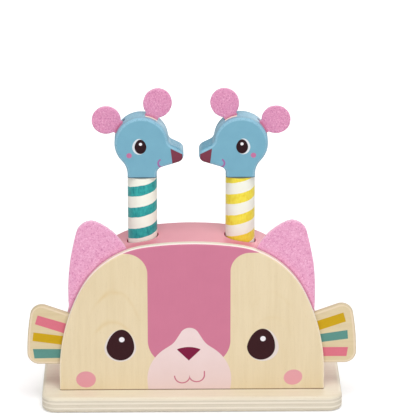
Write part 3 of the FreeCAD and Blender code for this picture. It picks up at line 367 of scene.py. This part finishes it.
# Faint arcs of late wood, where the peeled veneer cuts through the growth rings.
from_heart = abs(x - 1.0) - HEART_X
rings = (h - 9.0 + from_heart * from_heart * ARC_RISE + cloud(place, 24.0, 2.0) * 16.0) / ARC_PITCH
arcs = inside(abs(rings.math("PINGPONG", rings, 1.0) - 0.5) - 0.035, 0.2)
arcs = arcs * inside(abs(from_heart) - 13.0, 12.0) * inside(abs(h - 52.0) - 24.0, 14.0)
arcs = arcs * (cloud(place, 12.0, 1.0) * 2.0 - 0.5).clip() * (1.0 - 0.7 * (x > 0.0))
wood = over(wood, arcs, tint(223, 194, 134))

# The pink stripe: two bare patches with round corners bound it above, one round end below.
left_patch = rounded(x + 44.8, h - 84.0, 14.9)
right_patch = rounded(39.3 - x, h - 86.0, 13.2)
foot_of_stripe = rounded(abs(x + 1.9) - 10.1, 36.0 - h, 17.9)
high = h > STRIPE_SPLIT
stripe = high * most(-left_patch, -right_patch) + (1.0 - high) * foot_of_stripe
ink = over(tint(212, 127, 154), cloud(place, 14.0, 2.0), tint(206, 121, 149))
ink = shaded(ink, 0.985 + 0.03 * cloud(stretched(place, 1, 1, 0.08), 0.8))
colour = over(wood, inside(stripe), ink)

# The pale muzzle: a ball, and on it a wedge with a round top that runs up between the eyes.
low = most(BALL_HEIGHT - h, 0.0) / BALL_DEEP
ball = (span((x - MUZZLE_X) / BALL_HALF, most(h - BALL_HEIGHT, 0.0) / BALL_TALL + low) - 1.0) * BALL_TALL
beside, up = abs(x - WEDGE_X), h - WEDGE_HEIGHT
wedge_side = beside * math.cos(WEDGE_LEAN) + up * math.sin(WEDGE_LEAN) - WEDGE_R
wedge_top = span(beside, up) - WEDGE_R
above = up - beside * math.tan(WEDGE_LEAN) > 0.0
wedge = above * wedge_top + (1.0 - above) * most(wedge_side, WEDGE_FOOT - h)
muzzle = ball.node("Math", {"operation": "SMOOTH_MIN"}, {0: ball, 1: wedge, 2: 4.0})
pale = over(tint(234, 208, 204), (h / 36.0 + cloud(place, 18.0) - 0.5).clip(), tint(241, 218, 217))
colour = over(colour, inside(muzzle), shaded(pale, 0.99 + 0.02 * cloud(place, 2.0)))

# The nose, a triangle with a bowed top.
nose_sides = abs(x - NOSE_X) * NOSE_SLOPE - (h - NOSE_TIP) * NOSE_SLOPE
nose_top = h - NOSE_TOP + (x + 2.2) * (x + 2.2) * 0.025
nose = nose_top.node("Math", {"operation": "SMOOTH_MAX"}, {0: nose_sides, 1: nose_top, 2: 1.2})
colour = over(colour, inside(nose), tint(125, 14, 60))

# The smile: two arcs of one thin line that meet under the nose, the right one with a tick.
smile_left = abs(span(x + 6.6, h - 10.2) - 5.2) - LINE_HALF
smile_left = inside(smile_left) * inside(h - 10.3) * inside(x - SMILE_X)
smile_right = abs(oval(x, h, 3.2, 10.7, 5.25, 4.9)) - LINE_HALF
smile_right = inside(smile_right) * inside(h - 10.8) * inside(SMILE_X - x)
tick = inside(abs(x - 8.45) - LINE_HALF) * inside(abs(h - 12.2) - 1.5)
colour = over(colour, most(most(smile_left, smile_right), tick), tint(202, 116, 137))

for blush, *shape in ((tint(228, 156, 166), -72.1, 7.9, 6.7, 5.9, 0),
                      (tint(231, 163, 171), 68.8, 8.8, 6.4, 5.5, 16)):
    colour = over(colour, inside(oval(x, h, *shape)), blush)
for white, dark, shine in (((-48.6, 31.0, 10.8, 13.0, 10.2, 0.6, 0.11),
                            (-48.5, 31.5, 9.45, 12.7, 9.8, 0.9, 0.11), (-47.5, 36.9)),
                           ((48.2, 31.0, 10.7, 13.3, 10.2, 0.6, 0.11),
                            (46.9, 31.5, 9.55, 12.9, 9.75, 1.1, 0.11), (48.2, 37.1))):
    colour = printed_eye(colour, x, h, white, dark, shine, SHINE_R)

# The sanded rim shows the front veneer's edge and then the plies behind it.
bare, _ = birch(place, 2, tint(238, 229, 215), tint(231, 219, 199))
depth = y - PANEL_FRONT
cross = plies(depth, PANEL_JOINTS, PANEL_THICK)
edge = over(bare, cross, shaded(tint(222, 206, 182), 0.94 + 0.12 * cloud(place, 0.5, 2.0)))
crown = inside(50.0 - h, 30.0)
edge = over(edge, inside(depth - 2.2, 0.3), over(tint(252, 236, 208), crown, tint(250, 241, 231)))
flat = inside(depth - 0.10 - 0.35 * crown, 0.08)
colour = over(edge, flat, colour)
# Painted shade: a dark line along the panel's foot, where it stands on the base.
colour = over(colour, inside(h - 0.6, 0.4) * 0.9, tint(118, 90, 62))
close_finish(colour, 0.46 + 0.10 * cloud(place, 3.0), relief)
put_on(face_finish, "face_panel")

# ---- Kitten ears -----------------------------------------------------------
# Two ears cut from 3 mm pink felt. Their roots are glued between the panel
# and the block's rim. The cut edge is soft, and short fibres stand off it.

SHOULDER_X, SHOULDER_H, SHOULDER_R = 22.7, 44.9, 59.2
FLANK_X, FLANK_H, FLANK_R, FLANK_TOP = -41.4, 11.6, 131.4, 72.2
LUMP, LEAN_OVER = 0.00012, 0.0246
FIBRE_R, FIBRE_LEAN, FIBRE_TURN, SHORTEST = 0.022, 1.25, 3.1416, 0.45


def beside_panel(x, z):
    """How far a point lies outside the face panel's shoulder and flank."""
    h = z - PANEL_FOOT
    shoulder = span(abs(x) - SHOULDER_X, h - SHOULDER_H) - SHOULDER_R
    flank = span(abs(x) - FLANK_X, h - FLANK_H) - FLANK_R
    high = h > FLANK_TOP
    return high * shoulder + (1.0 - high) * flank


def felt_finish(name, light, middle, dark, crease_shade_from=None, wear_and_highlight=0.0):
    """Wool felt: matted fibres in three shades, with a painted highlight on its cut rim and painted shade in
    the crease beside the part it meets.
    """
    finish, place, x, y, z = new_finish(name)
    fleck = cloud(place, 1.05, 2.0, 0.6, 0.5)
    fibre = cloud(stretched(place, 0.5, 1.0, 1.6), 0.5, 2.0, 0.6, 1.5)
    fibre_across = cloud(stretched(place, 1.6, 1.0, 0.45), 0.5, 2.0, 0.6, 1.5)
    wool = over(middle, (fleck * 8.0 - 4.3).clip(), light)
    wool = over(wool, (3.5 - fleck * 8.0).clip(), dark)
    wool = over(wool, (fibre * 5.0 - 2.7).clip() * 0.9, dark)
    wool = over(wool, (fibre_across * 5.0 - 2.7).clip() * 0.8, light)
    wool = shaded(wool, 0.975 + 0.05 * cloud(place, 5.0, 2.0))
    # Painted highlight: the cut rim, where the surface turns sideways, is made paler.
    if wear_and_highlight:
        normal = place.node("NewGeometry", {}, {}, "Normal")
        facing = abs(normal.node("SeparateXYZ", {}, {0: normal}).other(1))
        wool = over(wool, wear_and_highlight * (1.25 - facing * 1.45).clip(), light)
    # Painted shade: the felt is made darker in the crease beside the panel or the head.
    if crease_shade_from:
        shade = shaded(tint(196, 108, 144), 0.85 + 0.3 * fleck)
        wool = over(wool, 0.8 * (1.0 - crease_shade_from(x, z) / 1.7).clip(), shade)
    close_finish(wool, 0.92 + 0.06 * fleck, (fleck + fibre * 0.6 + fibre_across * 0.6) * 0.22,
                 Sheen_Weight=0.25, Sheen_Roughness=0.6)
    return finish


def new_tree(name, *inputs):
    """A new Geometry Nodes tree: its inputs as wires, and the identifiers that a modifier sets them by."""
    tree = bpy.data.node_groups.new(name, "GeometryNodeTree")
    keys = {}
    for label, kind, value in inputs:
        socket = tree.interface.new_socket(label, in_out="INPUT", socket_type="NodeSocket" + kind)
        keys[label] = socket.identifier
        if value is not None:
            socket.default_value = value
    tree.interface.new_socket("Geometry", in_out="OUTPUT", socket_type="NodeSocketGeometry")
    enter = Wire(tree).node("NodeGroupInput", {}, {})
    return {label: enter.other(label) for label in keys}, keys


def end_tree(shape, finish):
    """Ends a tree: its shape is made real, takes its material and is handed out."""
    real = shape.node("GeometryNodeRealizeInstances", {}, {"Geometry": shape})
    dressed = real.node("GeometryNodeSetMaterial", {}, {"Geometry": real, "Material": finish})
    dressed.node("NodeGroupOutput", {}, {0: dressed})
    return shape.tree


def baked(piece):
    """Turns a piece with modifiers into a plain mesh."""
    seen = piece.evaluated_get(bpy.context.evaluated_depsgraph_get())
    mesh = bpy.data.meshes.new_from_object(seen)
    piece.modifiers.clear()
    piece.data = mesh


def grown(piece, tree, keys, inputs):
    """Turns a piece into what a Geometry Nodes tree makes of it with those inputs."""
    growth = piece.modifiers.new(tree.name, "NODES")
    growth.node_group = tree
    for label, value in inputs.items():
        growth[keys[label]] = value
    baked(piece)


# The tree sows short bent fibres over a felt piece.
given, fibre_keys = new_tree("felt_fibres", ("Geometry", "Geometry", None),
                             ("Fibres per square metre", "Float", 1.5e6), ("Fibre length", "Float", 0.0012),
                             ("Seed", "Int", 1), ("Material", "Material", None))
sown = given["Seed"].node("GeometryNodeDistributePointsOnFaces", {}, {
    "Mesh": given["Geometry"], "Density": given["Fibres per square metre"], "Seed": given["Seed"]})
bow = sown.node("GeometryNodeCurveQuadraticBezier", {}, {
    "Resolution": 2, "Start": (0, 0, -0.1), "Middle": (0.12, 0, 0.5), "End": (0.55, 0, 0.8)})
ring = sown.node("GeometryNodeCurvePrimitiveCircle", {}, {"Resolution": 3, "Radius": FIBRE_R})
thread = bow.node("GeometryNodeCurveToMesh", {}, {"Curve": bow, "Profile Curve": ring, "Fill Caps": True})
lean = sown.node("FunctionNodeRandomValue", {"data_type": "FLOAT_VECTOR"}, {
    "Min": (-FIBRE_LEAN, -FIBRE_LEAN, -FIBRE_TURN), "Max": (FIBRE_LEAN, FIBRE_LEAN, FIBRE_TURN),
    "Seed": given["Seed"]})
turned = lean.node("FunctionNodeRotateRotation", {"rotation_space": "LOCAL"}, {
    "Rotation": sown.other("Rotation"), "Rotate By": lean})
share = sown.node("FunctionNodeRandomValue", {"data_type": "FLOAT"}, {
    2: SHORTEST, 3: 1.0, "Seed": given["Seed"]}, 1)
planted = sown.node("GeometryNodeInstanceOnPoints", {}, {
    "Points": sown, "Instance": thread, "Rotation": turned, "Scale": share * given["Fibre length"]})
fibre_tree = end_tree(planted, given["Material"])


def felt_piece(name, node, felt, fuzz, body, seed, *, grain, soften, per_mm2, length,
               trim=0.0, root=None, lean=(0, 0), grow=1.0):
    """A felt cut-out with soft edges, and its fibres, in the place of its solid."""
    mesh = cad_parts[node].data.copy()
    shape = bmesh.new()
    shape.from_mesh(mesh)
    bmesh.ops.remove_doubles(shape, verts=shape.verts, dist=1e-6)
    low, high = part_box(node)
    cut_area = shape.calc_volume() / (high.y - low.y)
    shape.to_mesh(mesh)
    shape.free()
    piece = in_scene(name, mesh)
    remesh = piece.modifiers.new("matting", "REMESH")
    remesh.mode, remesh.voxel_size, remesh.use_smooth_shade = "VOXEL", grain, True
    smooth = piece.modifiers.new("soft_edges", "SMOOTH")
    smooth.factor, smooth.iterations = 0.5, soften
    baked(piece)
    for vertex, normal in zip(piece.data.vertices, [v.normal.copy() for v in piece.data.vertices]):
        lump = noise.noise(vertex.co * 260) + 0.6 * noise.noise(vertex.co * 900)
        to_tip = max((vertex.co.z - low.z) / (high.z - low.z) * 2 - 1, 0)
        vertex.co += normal * LUMP * lump - Vector((normal.x, 0, normal.z)) * trim * to_tip
        if root:
            out = Vector((vertex.co.x - root[0], 0, vertex.co.z - root[1]))
            leaning = Vector((lean[0], 0, lean[1])) * min(out.length / LEAN_OVER, 1.0)
            vertex.co += out * (grow - 1.0) + leaning
    piece.data.materials.clear()
    piece.data.materials.append(felt)
    fibres = in_scene(name + "_fibres", piece.data.copy())
    grown(fibres, fibre_tree, fibre_keys, {"Fibres per square metre": per_mm2 * 1e6, "Fibre length": length,
                                           "Seed": seed, "Material": fuzz})
    for made in (piece, fibres):
        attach(made, body)
    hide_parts(node)
    return piece, fibres, {"flat": (high.x - low.x, high.z - low.z), "area": cut_area}


# Both felts get painted shade along the panel's outline, and the ear felt a painted highlight on its cut rim.
ear_felt = felt_finish("kitten_ear_felt", tint(254, 198, 226), tint(240, 168, 204), tint(216, 130, 176),
                       beside_panel, 0.8)
ear_fuzz = felt_finish("kitten_ear_fuzz", tint(255, 216, 236), tint(250, 196, 224), tint(242, 178, 210),
                       beside_panel)
for side, seed in (("left", 11), ("right", 12)):
    ear, fibres, cut = felt_piece(f"kitten_ear_felt_{side}", f"kitten_ear_{side}", ear_felt, ear_fuzz,
                                  "stand", seed, grain=0.00055, soften=5, per_mm2=1.5, length=0.0006,
                                  trim=0.00095)

# ---- Whisker fins ----------------------------------------------------------
# Two fins of 4 mm birch ply with round corners, glued behind the panel, each
# with three printed bars that fan out like whiskers.

FIN_FRONT, FIN_THICK, FIN_JOINTS, FIN_CORNER = -19.5, 4.0, (0.8, 1.6, 2.4, 3.2), 8.0
OUTER_X, OUTER_Z, OUTER_R = -48.2, 36.3, 160.0
TOP_X, TOP_Z, TOP_ACROSS, TOP_UP = 72.0, 60.6, 0.3447, 0.9387
PINK_INK, MUSTARD_INK, TEAL_INK = tint(222, 117, 135), tint(206, 165, 14), tint(93, 148, 139)
FIN_BARS = {
    "left": ((PINK_INK, [(-104.4, 52.9), (-85.6, 47.0), (-80.0, 37.5), (-106.3, 46.5)]),
             (MUSTARD_INK, [(-107.4, 40.5), (-80.0, 36.8), (-80.0, 30.2), (-108.2, 34.3)]),
             (TEAL_INK, [(-108.0, 28.4), (-80.0, 28.2), (-80.0, 21.9), (-107.1, 21.5)])),
    "right": ((MUSTARD_INK, [(102.8, 53.9), (104.6, 47.3), (80.0, 38.8), (80.0, 46.1)]),
              (TEAL_INK, [(105.7, 41.1), (106.2, 34.8), (80.0, 31.3), (80.0, 37.2)]),
              (PINK_INK, [(106.3, 28.6), (105.3, 22.0), (80.0, 22.1), (80.0, 28.7)])),
}


def bar(x, z, corners):
    """How far a point lies outside a bar with four straight sides."""
    centre = [sum(p[i] for p in corners) / 4 for i in (0, 1)]
    distance = None
    for (ax, az), (bx, bz) in zip(corners, corners[1:] + corners[:1]):
        long = math.hypot(bx - ax, bz - az)
        nx, nz = (bz - az) / long, -(bx - ax) / long
        if nx * (centre[0] - ax) + nz * (centre[1] - az) > 0:
            nx, nz = -nx, -nz
        side = x * nx + (z * nz - (nx * ax + nz * az))
        distance = side if distance is None else most(distance, side)
    return distance


for side, bars in FIN_BARS.items():
    fin_finish, place, x, y, z = new_finish(f"fin_birch_and_print_{side}")
    wood, relief = birch(place, 0, tint(227, 209, 171), tint(215, 193, 151))
    outer = span(abs(x) - OUTER_X, z - OUTER_Z) - OUTER_R + FIN_CORNER
    top = (z - TOP_Z) * TOP_UP - (abs(x) - TOP_X) * TOP_ACROSS + FIN_CORNER
    # Painted highlight: a paler band just inside the fin's outline.
    highlight_band_edge = most(rounded(outer, top, FIN_CORNER), rounded(outer, OUTER_Z - z, FIN_CORNER))
    colour = over(wood, inside(-highlight_band_edge - 1.7, 0.7) * 0.7, tint(240, 220, 196))
    for ink, corners in bars:
        wear_and_highlight = shaded(ink, 0.96 + 0.08 * cloud(place, 1.6, 2.0))
        colour = over(colour, inside(bar(x, z - PANEL_FOOT, corners)), wear_and_highlight)
    # Painted shade: the fin is made darker close beside the panel's outline.
    panel_shade = shaded(colour, 0.74 + 0.1 * cloud(place, 2.0))
    colour = over(colour, 0.75 * (1.0 - beside_panel(x, z) / 2.2).clip(), panel_shade)
    depth = y - FIN_FRONT
    end_grain = shaded(tint(196, 177, 150), 0.92 + 0.16 * cloud(place, 0.5, 2.0))
    edge = over(shaded(wood, 0.86 + 0.06 * cloud(place, 2.0)), plies(depth, FIN_JOINTS, FIN_THICK), end_grain)
    colour = over(edge, inside(depth - 0.03, 0.02), colour)
    colour = over(colour, inside(FIN_THICK - 0.03 - depth, 0.02), wood)
    close_finish(colour, 0.46 + 0.10 * cloud(place, 3.0), relief)
    put_on(fin_finish, f"whisker_fin_{side}")

# ---- Spring seats and neck dowels ------------------------------------------
# Turned beech seats, screwed to the base in the bottom of the bores, centre
# the springs. Short beech dowels pin the mice's heads to their pegs.

beech, place, x, y, z = new_finish("waxed_beech")
streak = cloud(stretched(place, 1.0, 1.0, 0.08), 1.2, 3.0)
fleck = inside(0.60 - cloud(stretched(place, 1.0, 1.0, 0.3), 0.5, 1.0), 0.06)
wood = over(tint(226, 192, 148), (streak * 1.6 - 0.3).clip(), tint(204, 164, 116))
wood = over(wood, fleck * 0.5, tint(150, 104, 66))
lathe = cloud(stretched(place, 0.1, 0.1, 1.0), 0.5, 1.0)
close_finish(wood, 0.45 + 0.15 * streak, lathe * 0.05 - fleck * 0.03)
put_on(beech, "spring_seat_left", "spring_seat_right", "neck_dowel_left", "neck_dowel_right")

# ---- Springs ---------------------------------------------------------------
# Compression springs of spring steel wire, thirteen turns, with a closed turn
# at each end. They stand on the seats and push the plungers up.

SPRING_FOOT, SPRING_TOP, WIRE_R, COIL_R = 0.015, 0.0754, 0.000475, 0.008525
CLOSED_PITCH, OPEN_TURNS, END_TURNS, STEPS_PER_TURN = 0.00107, 11, 2, 36

steel_finish, place, x, y, z = new_finish("spring_steel")
drawn = cloud(stretched(place, 1.0, 1.0, 3.0), 0.4, 3.0)
steel = over(tint(186, 188, 192), drawn, tint(140, 143, 150))
close_finish(steel, 0.24 + 0.2 * drawn, drawn * 0.01, Metallic=1.0)

# The tree winds wire into a spring with a closed turn at each end.
given, winding_keys = new_tree("wound_spring", ("Coil radius", "Float", 0.01),
                               ("Wire radius", "Float", 0.0005), ("Open turns", "Float", 8.0),
                               ("Closed pitch", "Float", 0.001), ("Height", "Float", 0.05),
                               ("Foot", "Vector", (0, 0, 0)), ("Material", "Material", None))
coil_r, wire_r, open_turns, closed_pitch = (given[label] for label in (
    "Coil radius", "Wire radius", "Open turns", "Closed pitch"))
line = coil_r.node("GeometryNodeCurvePrimitiveLine", {}, {})
steps = line.node("GeometryNodeResampleCurve", {}, {
    "Curve": line, "Count": (OPEN_TURNS + END_TURNS) * STEPS_PER_TURN + 1})
along = line.node("GeometryNodeSplineParameter", {}, {}, "Factor")
turn = along * (open_turns + END_TURNS)
open_turn = least(most(turn - 1.0, 0.0), open_turns)
open_pitch = (given["Height"] - (closed_pitch * 2.0 + wire_r * 2.0)) / open_turns
rise = (turn - open_turn) * closed_pitch + open_turn * open_pitch
angle = turn * (2 * math.pi)
wound = angle.node("CombineXYZ", {}, {0: angle.math("COSINE", angle) * coil_r,
                                      1: angle.math("SINE", angle) * coil_r, 2: rise + wire_r})
wound = wound.node("VectorMath", {"operation": "ADD"}, {0: wound, 1: given["Foot"]})
coil = wound.node("GeometryNodeSetPosition", {}, {"Geometry": steps, "Position": wound})
ring = coil.node("GeometryNodeCurvePrimitiveCircle", {}, {"Resolution": 12, "Radius": wire_r})
wire = coil.node("GeometryNodeCurveToMesh", {}, {"Curve": coil, "Profile Curve": ring, "Fill Caps": True})
smooth = wire.node("GeometryNodeSetShadeSmooth", {}, {"Geometry": wire, "Shade Smooth": True})
winding = end_tree(smooth, given["Material"])

for side, middle in (("left", -BORE_X), ("right", BORE_X)):
    foot = (middle / 1000, BORE_Y / 1000, SPRING_FOOT)
    spring = in_scene(f"spring_wire_{side}", bpy.data.meshes.new(f"spring_wire_{side}"))
    grown(spring, winding, winding_keys, {
        "Coil radius": COIL_R, "Wire radius": WIRE_R, "Open turns": float(OPEN_TURNS),
        "Closed pitch": CLOSED_PITCH, "Height": SPRING_TOP - SPRING_FOOT, "Foot": foot,
        "Material": steel_finish})
    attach(spring, "stand")
    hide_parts(f"spring_{side}")
    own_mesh(spring)

# ---- Plungers and their pads -----------------------------------------------
# Turned beech plungers with a nose inside the springs. A disc of grey-pink
# felt glued on each softens the peg's landing.

put_on(beech, "plunger_left", "plunger_right")
pad_felt = felt_finish("pad_felt", tint(206, 196, 198), tint(188, 176, 180), tint(166, 152, 158))
for side, seed in (("left", 31), ("right", 32)):
    pad, fibres, _ = felt_piece(f"plunger_felt_{side}", f"plunger_pad_{side}", pad_felt, pad_felt,
                                f"pad_{side}", seed, grain=0.0004, soften=3, per_mm2=0.8, length=0.0004)

# ---- Mouse pegs ------------------------------------------------------------
# Turned 20 mm pegs, sprayed cream and then banded with one stripe that winds
# up the peg, teal on one and yellow on the other. The foot edge is rounded.

PEG_R, PEG_TOP = 9.9, 156.9
STRIPE_PITCH, STRIPE_WIDTH, STRIPE_SWAY = 15.0, 7.0, 0.15
for side, middle, ink, dark_ink, height in (("left", -BORE_X, tint(50, 174, 171), tint(14, 130, 136), 145.2),
                                            ("right", BORE_X, tint(249, 232, 78), tint(238, 210, 44), 139.5)):
    peg_finish, place, x, y, z = new_finish(f"peg_paint_{side}")
    across, deep = x - middle, y - BORE_Y
    turns = across.math("ARCTAN2", -deep, -across) / (2 * math.pi)
    wobble = (cloud(place, 5.0, 2.0) - 0.5) * 0.9
    phase = (z - height + (across / PEG_R + 1.0) * STRIPE_SWAY + wobble) / STRIPE_PITCH - turns
    off_stripe = abs(phase - phase.math("ROUND", phase)) * STRIPE_PITCH - STRIPE_WIDTH / 2
    brushed = cloud(stretched(place, 1.0, 1.0, 0.3), 1.2, 3.0, 0.6)
    cream = over(tint(250, 251, 240), (cloud(place, 6.0, 3.0) * 1.4 - 0.2).clip(), tint(247, 247, 232))
    paint = over(ink, (brushed * 2.2 + cloud(place, 3.0, 2.0) * 1.4 - 1.5).clip(), dark_ink)
    stripe = inside(off_stripe, 0.25)
    colour = over(cream, stripe, paint)
    # Painted shade: a dark line round the peg's top, under the head.
    colour = over(colour, 0.75 * inside(PEG_TOP - z, 0.5), tint(66, 84, 88))
    relief = stripe * 0.03 + brushed * 0.02 + cloud(place, 1.4, 2.0) * 0.03
    close_finish(colour, 0.28 + 0.10 * brushed, relief, Specular_IOR_Level=0.3)
    put_on(peg_finish, f"mouse_peg_{side}")

# ---- Mouse heads -----------------------------------------------------------
# Mouse heads sawn from 18 mm wood with rounded rims, painted blue, with a face
# printed on both flat sides. The slots for the ears are left bare.

HEAD_FOOT, HEAD_HALF = 157.4, 9.0
BACK_U, BACK_W, BACK_R = -0.4, 23.9, 18.0
CROWN_EAR, REAR_EAR = 67.2, 147.8
SMILE_U, SMILE_W, SMILE_R, SMILE_ENDS, END_R = 13.7, 10.25, 2.9, ((14.17, 7.39), (12.19, 12.73)), 0.5
NOSE_U, NOSE_W, NOSE_ACROSS, NOSE_UP = 19.1, 20.6, 1.3, 10.9
SLOT_Y, SLOT_HALF, SLOT_HALF_WIDTH, SLOT_FROM = 1.7, 3.6, 4.3, 16.6
for side, middle, way in (("left", -BORE_X, 1.0), ("right", BORE_X, -1.0)):
    head_finish, place, x, y, z = new_finish(f"mouse_blue_paint_{side}")
    u, w = (x - middle) * way, z - HEAD_FOOT
    depth = abs(y - BORE_Y)
    flat = inside(HEAD_HALF - 0.03 - depth, 0.02)
    peel = cloud(place, 1.3, 2.0)
    mottle = cloud(place, 8.0, 3.0)
    fine = cloud(stretched(place, 1.0, 1.0, 0.3), 0.5, 2.0)

    # The rounded rim gets a painted highlight along its middle and its edges and a painted shade line just
    # inside each edge, with pits and a sawn patch on the snout.
    rim_blue = over(tint(134, 178, 197), (mottle * 1.4 - 0.2).clip(), tint(127, 171, 191))
    rim_highlight = 1.0 + 0.13 * inside(depth - 4.2, 2.0) + 0.20 * inside(7.3 - depth, 0.5)
    rim_blue = shaded(rim_blue, rim_highlight - 0.10 * inside(abs(depth - 6.8) - 0.35, 0.5))
    pits = inside(cloud(stretched(place, 1.5, 0.7, 1.5), 0.8, 1.0) - 0.40, 0.14)
    rim_blue = over(rim_blue, pits * 0.5, tint(100, 146, 170))
    sawn = inside(18.6 - u, 1.2) * inside(u - 26.2, 1.6) * inside(depth - 8.2, 0.8)
    dots = (cloud(place, 0.7, 1.0) * 9.0 - 4.2).clip()
    rim_blue = over(rim_blue, sawn * (0.5 + 0.5 * dots), tint(66, 136, 162))

    blue = over(tint(123, 178, 199), (mottle * 1.4 - 0.2).clip(), tint(117, 171, 194))
    face = shaded(blue, 0.975 + 0.05 * fine)
    cheek = oval(u, w, -8.6, 15.8, 1.8, 1.8)
    face = over(face, inside(cheek), tint(196, 116, 158))
    face = printed_eye(face, u, w, (-1.9, 22.0, 4.6, 5.6, 5.5), (-1.0, 22.0, 4.0, 5.1, 5.0),
                       (-0.9, 23.8), 1.05, tint(222, 228, 234), tint(36, 0, 10))
    colour = over(rim_blue, flat, face)

    # The smile runs over the edge onto the rim, and so does the nose.
    smile = inside(abs(span(u - SMILE_U, w - SMILE_W) - SMILE_R) - 0.6)
    smile = smile * inside((u - SMILE_U) * 0.938 + (w - SMILE_W) * 0.347 + 0.55)
    for end in SMILE_ENDS:
        smile = most(smile, inside(oval(u, w, *end, END_R, END_R)))
    colour = over(colour, smile * inside(7.3 - depth, 0.1), tint(162, 106, 164))
    nose_edge = ((u - NOSE_U) * NOSE_UP + (w - NOSE_W) * NOSE_ACROSS) / math.hypot(NOSE_UP, NOSE_ACROSS)
    under_brow = (w - 20.5) * 0.894 + (u - 19.43) * 0.448
    nose = inside(-nose_edge) * inside(under_brow) * inside(u - 27.1) * inside(HEAD_HALF - 1.3 - depth, 0.3)
    colour = over(colour, nose, over(tint(128, 58, 76), mottle, tint(118, 50, 68)))

    # The crown ear's slot is bare wood. The rear one is stained by the felt, with a painted shadow at the
    # open end of its slot.
    for degrees, in_slot in ((CROWN_EAR, tint(244, 232, 212)), (REAR_EAR, tint(206, 142, 170))):
        c, s = math.cos(math.radians(degrees)), math.sin(math.radians(degrees))
        out = (u - BACK_U) * c + (w - BACK_W) * s
        sideways = (w - BACK_W) * c - (u - BACK_U) * s
        slot = inside(abs(sideways) - SLOT_HALF_WIDTH, 0.4) * inside(SLOT_FROM - out, 0.4)
        colour = over(colour, slot * inside(abs(y - SLOT_Y) - SLOT_HALF, 0.4), in_slot)
        if degrees == REAR_EAR:
            gap_shadow = inside(abs(sideways + 5.2) - 0.9) * inside(abs(y - 4.3) - 1.9) * inside(15.0 - out, 0.4)
            colour = over(colour, gap_shadow, tint(48, 52, 96))
    # Painted shade: a dark line along the head's foot, where it sits on the peg.
    colour = over(colour, inside(w - 0.55, 0.4) * 0.85, tint(52, 66, 84))
    close_finish(colour, 0.40 + 0.08 * peel, peel * 0.03 + fine * 0.015 - pits * (1.0 - flat) * 0.05)
    put_on(head_finish, f"mouse_head_{side}")

# ---- Mouse ears ------------------------------------------------------------
# Round ears cut from 3 mm felt, a shade darker than the kitten's, each with a
# tab that is glued into a slot in the head's rim.

EAR_ROOT, EAR_GROWTH = 17.5, 1.02


def beside_head(x, z):
    """How far a point lies outside the round back of the nearer mouse's head."""
    return span(abs(x) - (BORE_X - BACK_U), z - HEAD_FOOT - BACK_W) - BACK_R


# Both felts get painted shade beside the head's round back, and the ear felt a painted highlight on its cut
# rim.
mouse_felt = felt_finish("mouse_ear_felt", tint(246, 184, 214), tint(228, 149, 188), tint(198, 112, 158),
                         beside_head, 0.5)
mouse_fuzz = felt_finish("mouse_ear_fuzz", tint(250, 200, 224), tint(240, 176, 208), tint(228, 156, 192),
                         beside_head)
for side, middle, way, rear_seed, crown_seed in (("left", -BORE_X, 1, 41, 43), ("right", BORE_X, -1, 42, 44)):
    for where, degrees, lean_x, lean_z, seed in (("rear", REAR_EAR, -0.0006, -0.0007, rear_seed),
                                                 ("crown", CROWN_EAR, 0.0006, 0.0017, crown_seed)):
        turn = math.radians(degrees)
        root = ((middle + way * (BACK_U + EAR_ROOT * math.cos(turn))) / 1000,
                (HEAD_FOOT + BACK_W + EAR_ROOT * math.sin(turn)) / 1000)
        ear, fibres, cut = felt_piece(f"mouse_{where}_ear_felt_{side}", f"mouse_{where}_ear_{side}",
                                      mouse_felt, mouse_fuzz, f"mouse_{side}", seed, grain=0.0004, soften=5,
                                      per_mm2=2.2, length=0.0005, root=root, lean=(way * lean_x, lean_z),
                                      grow=EAR_GROWTH)
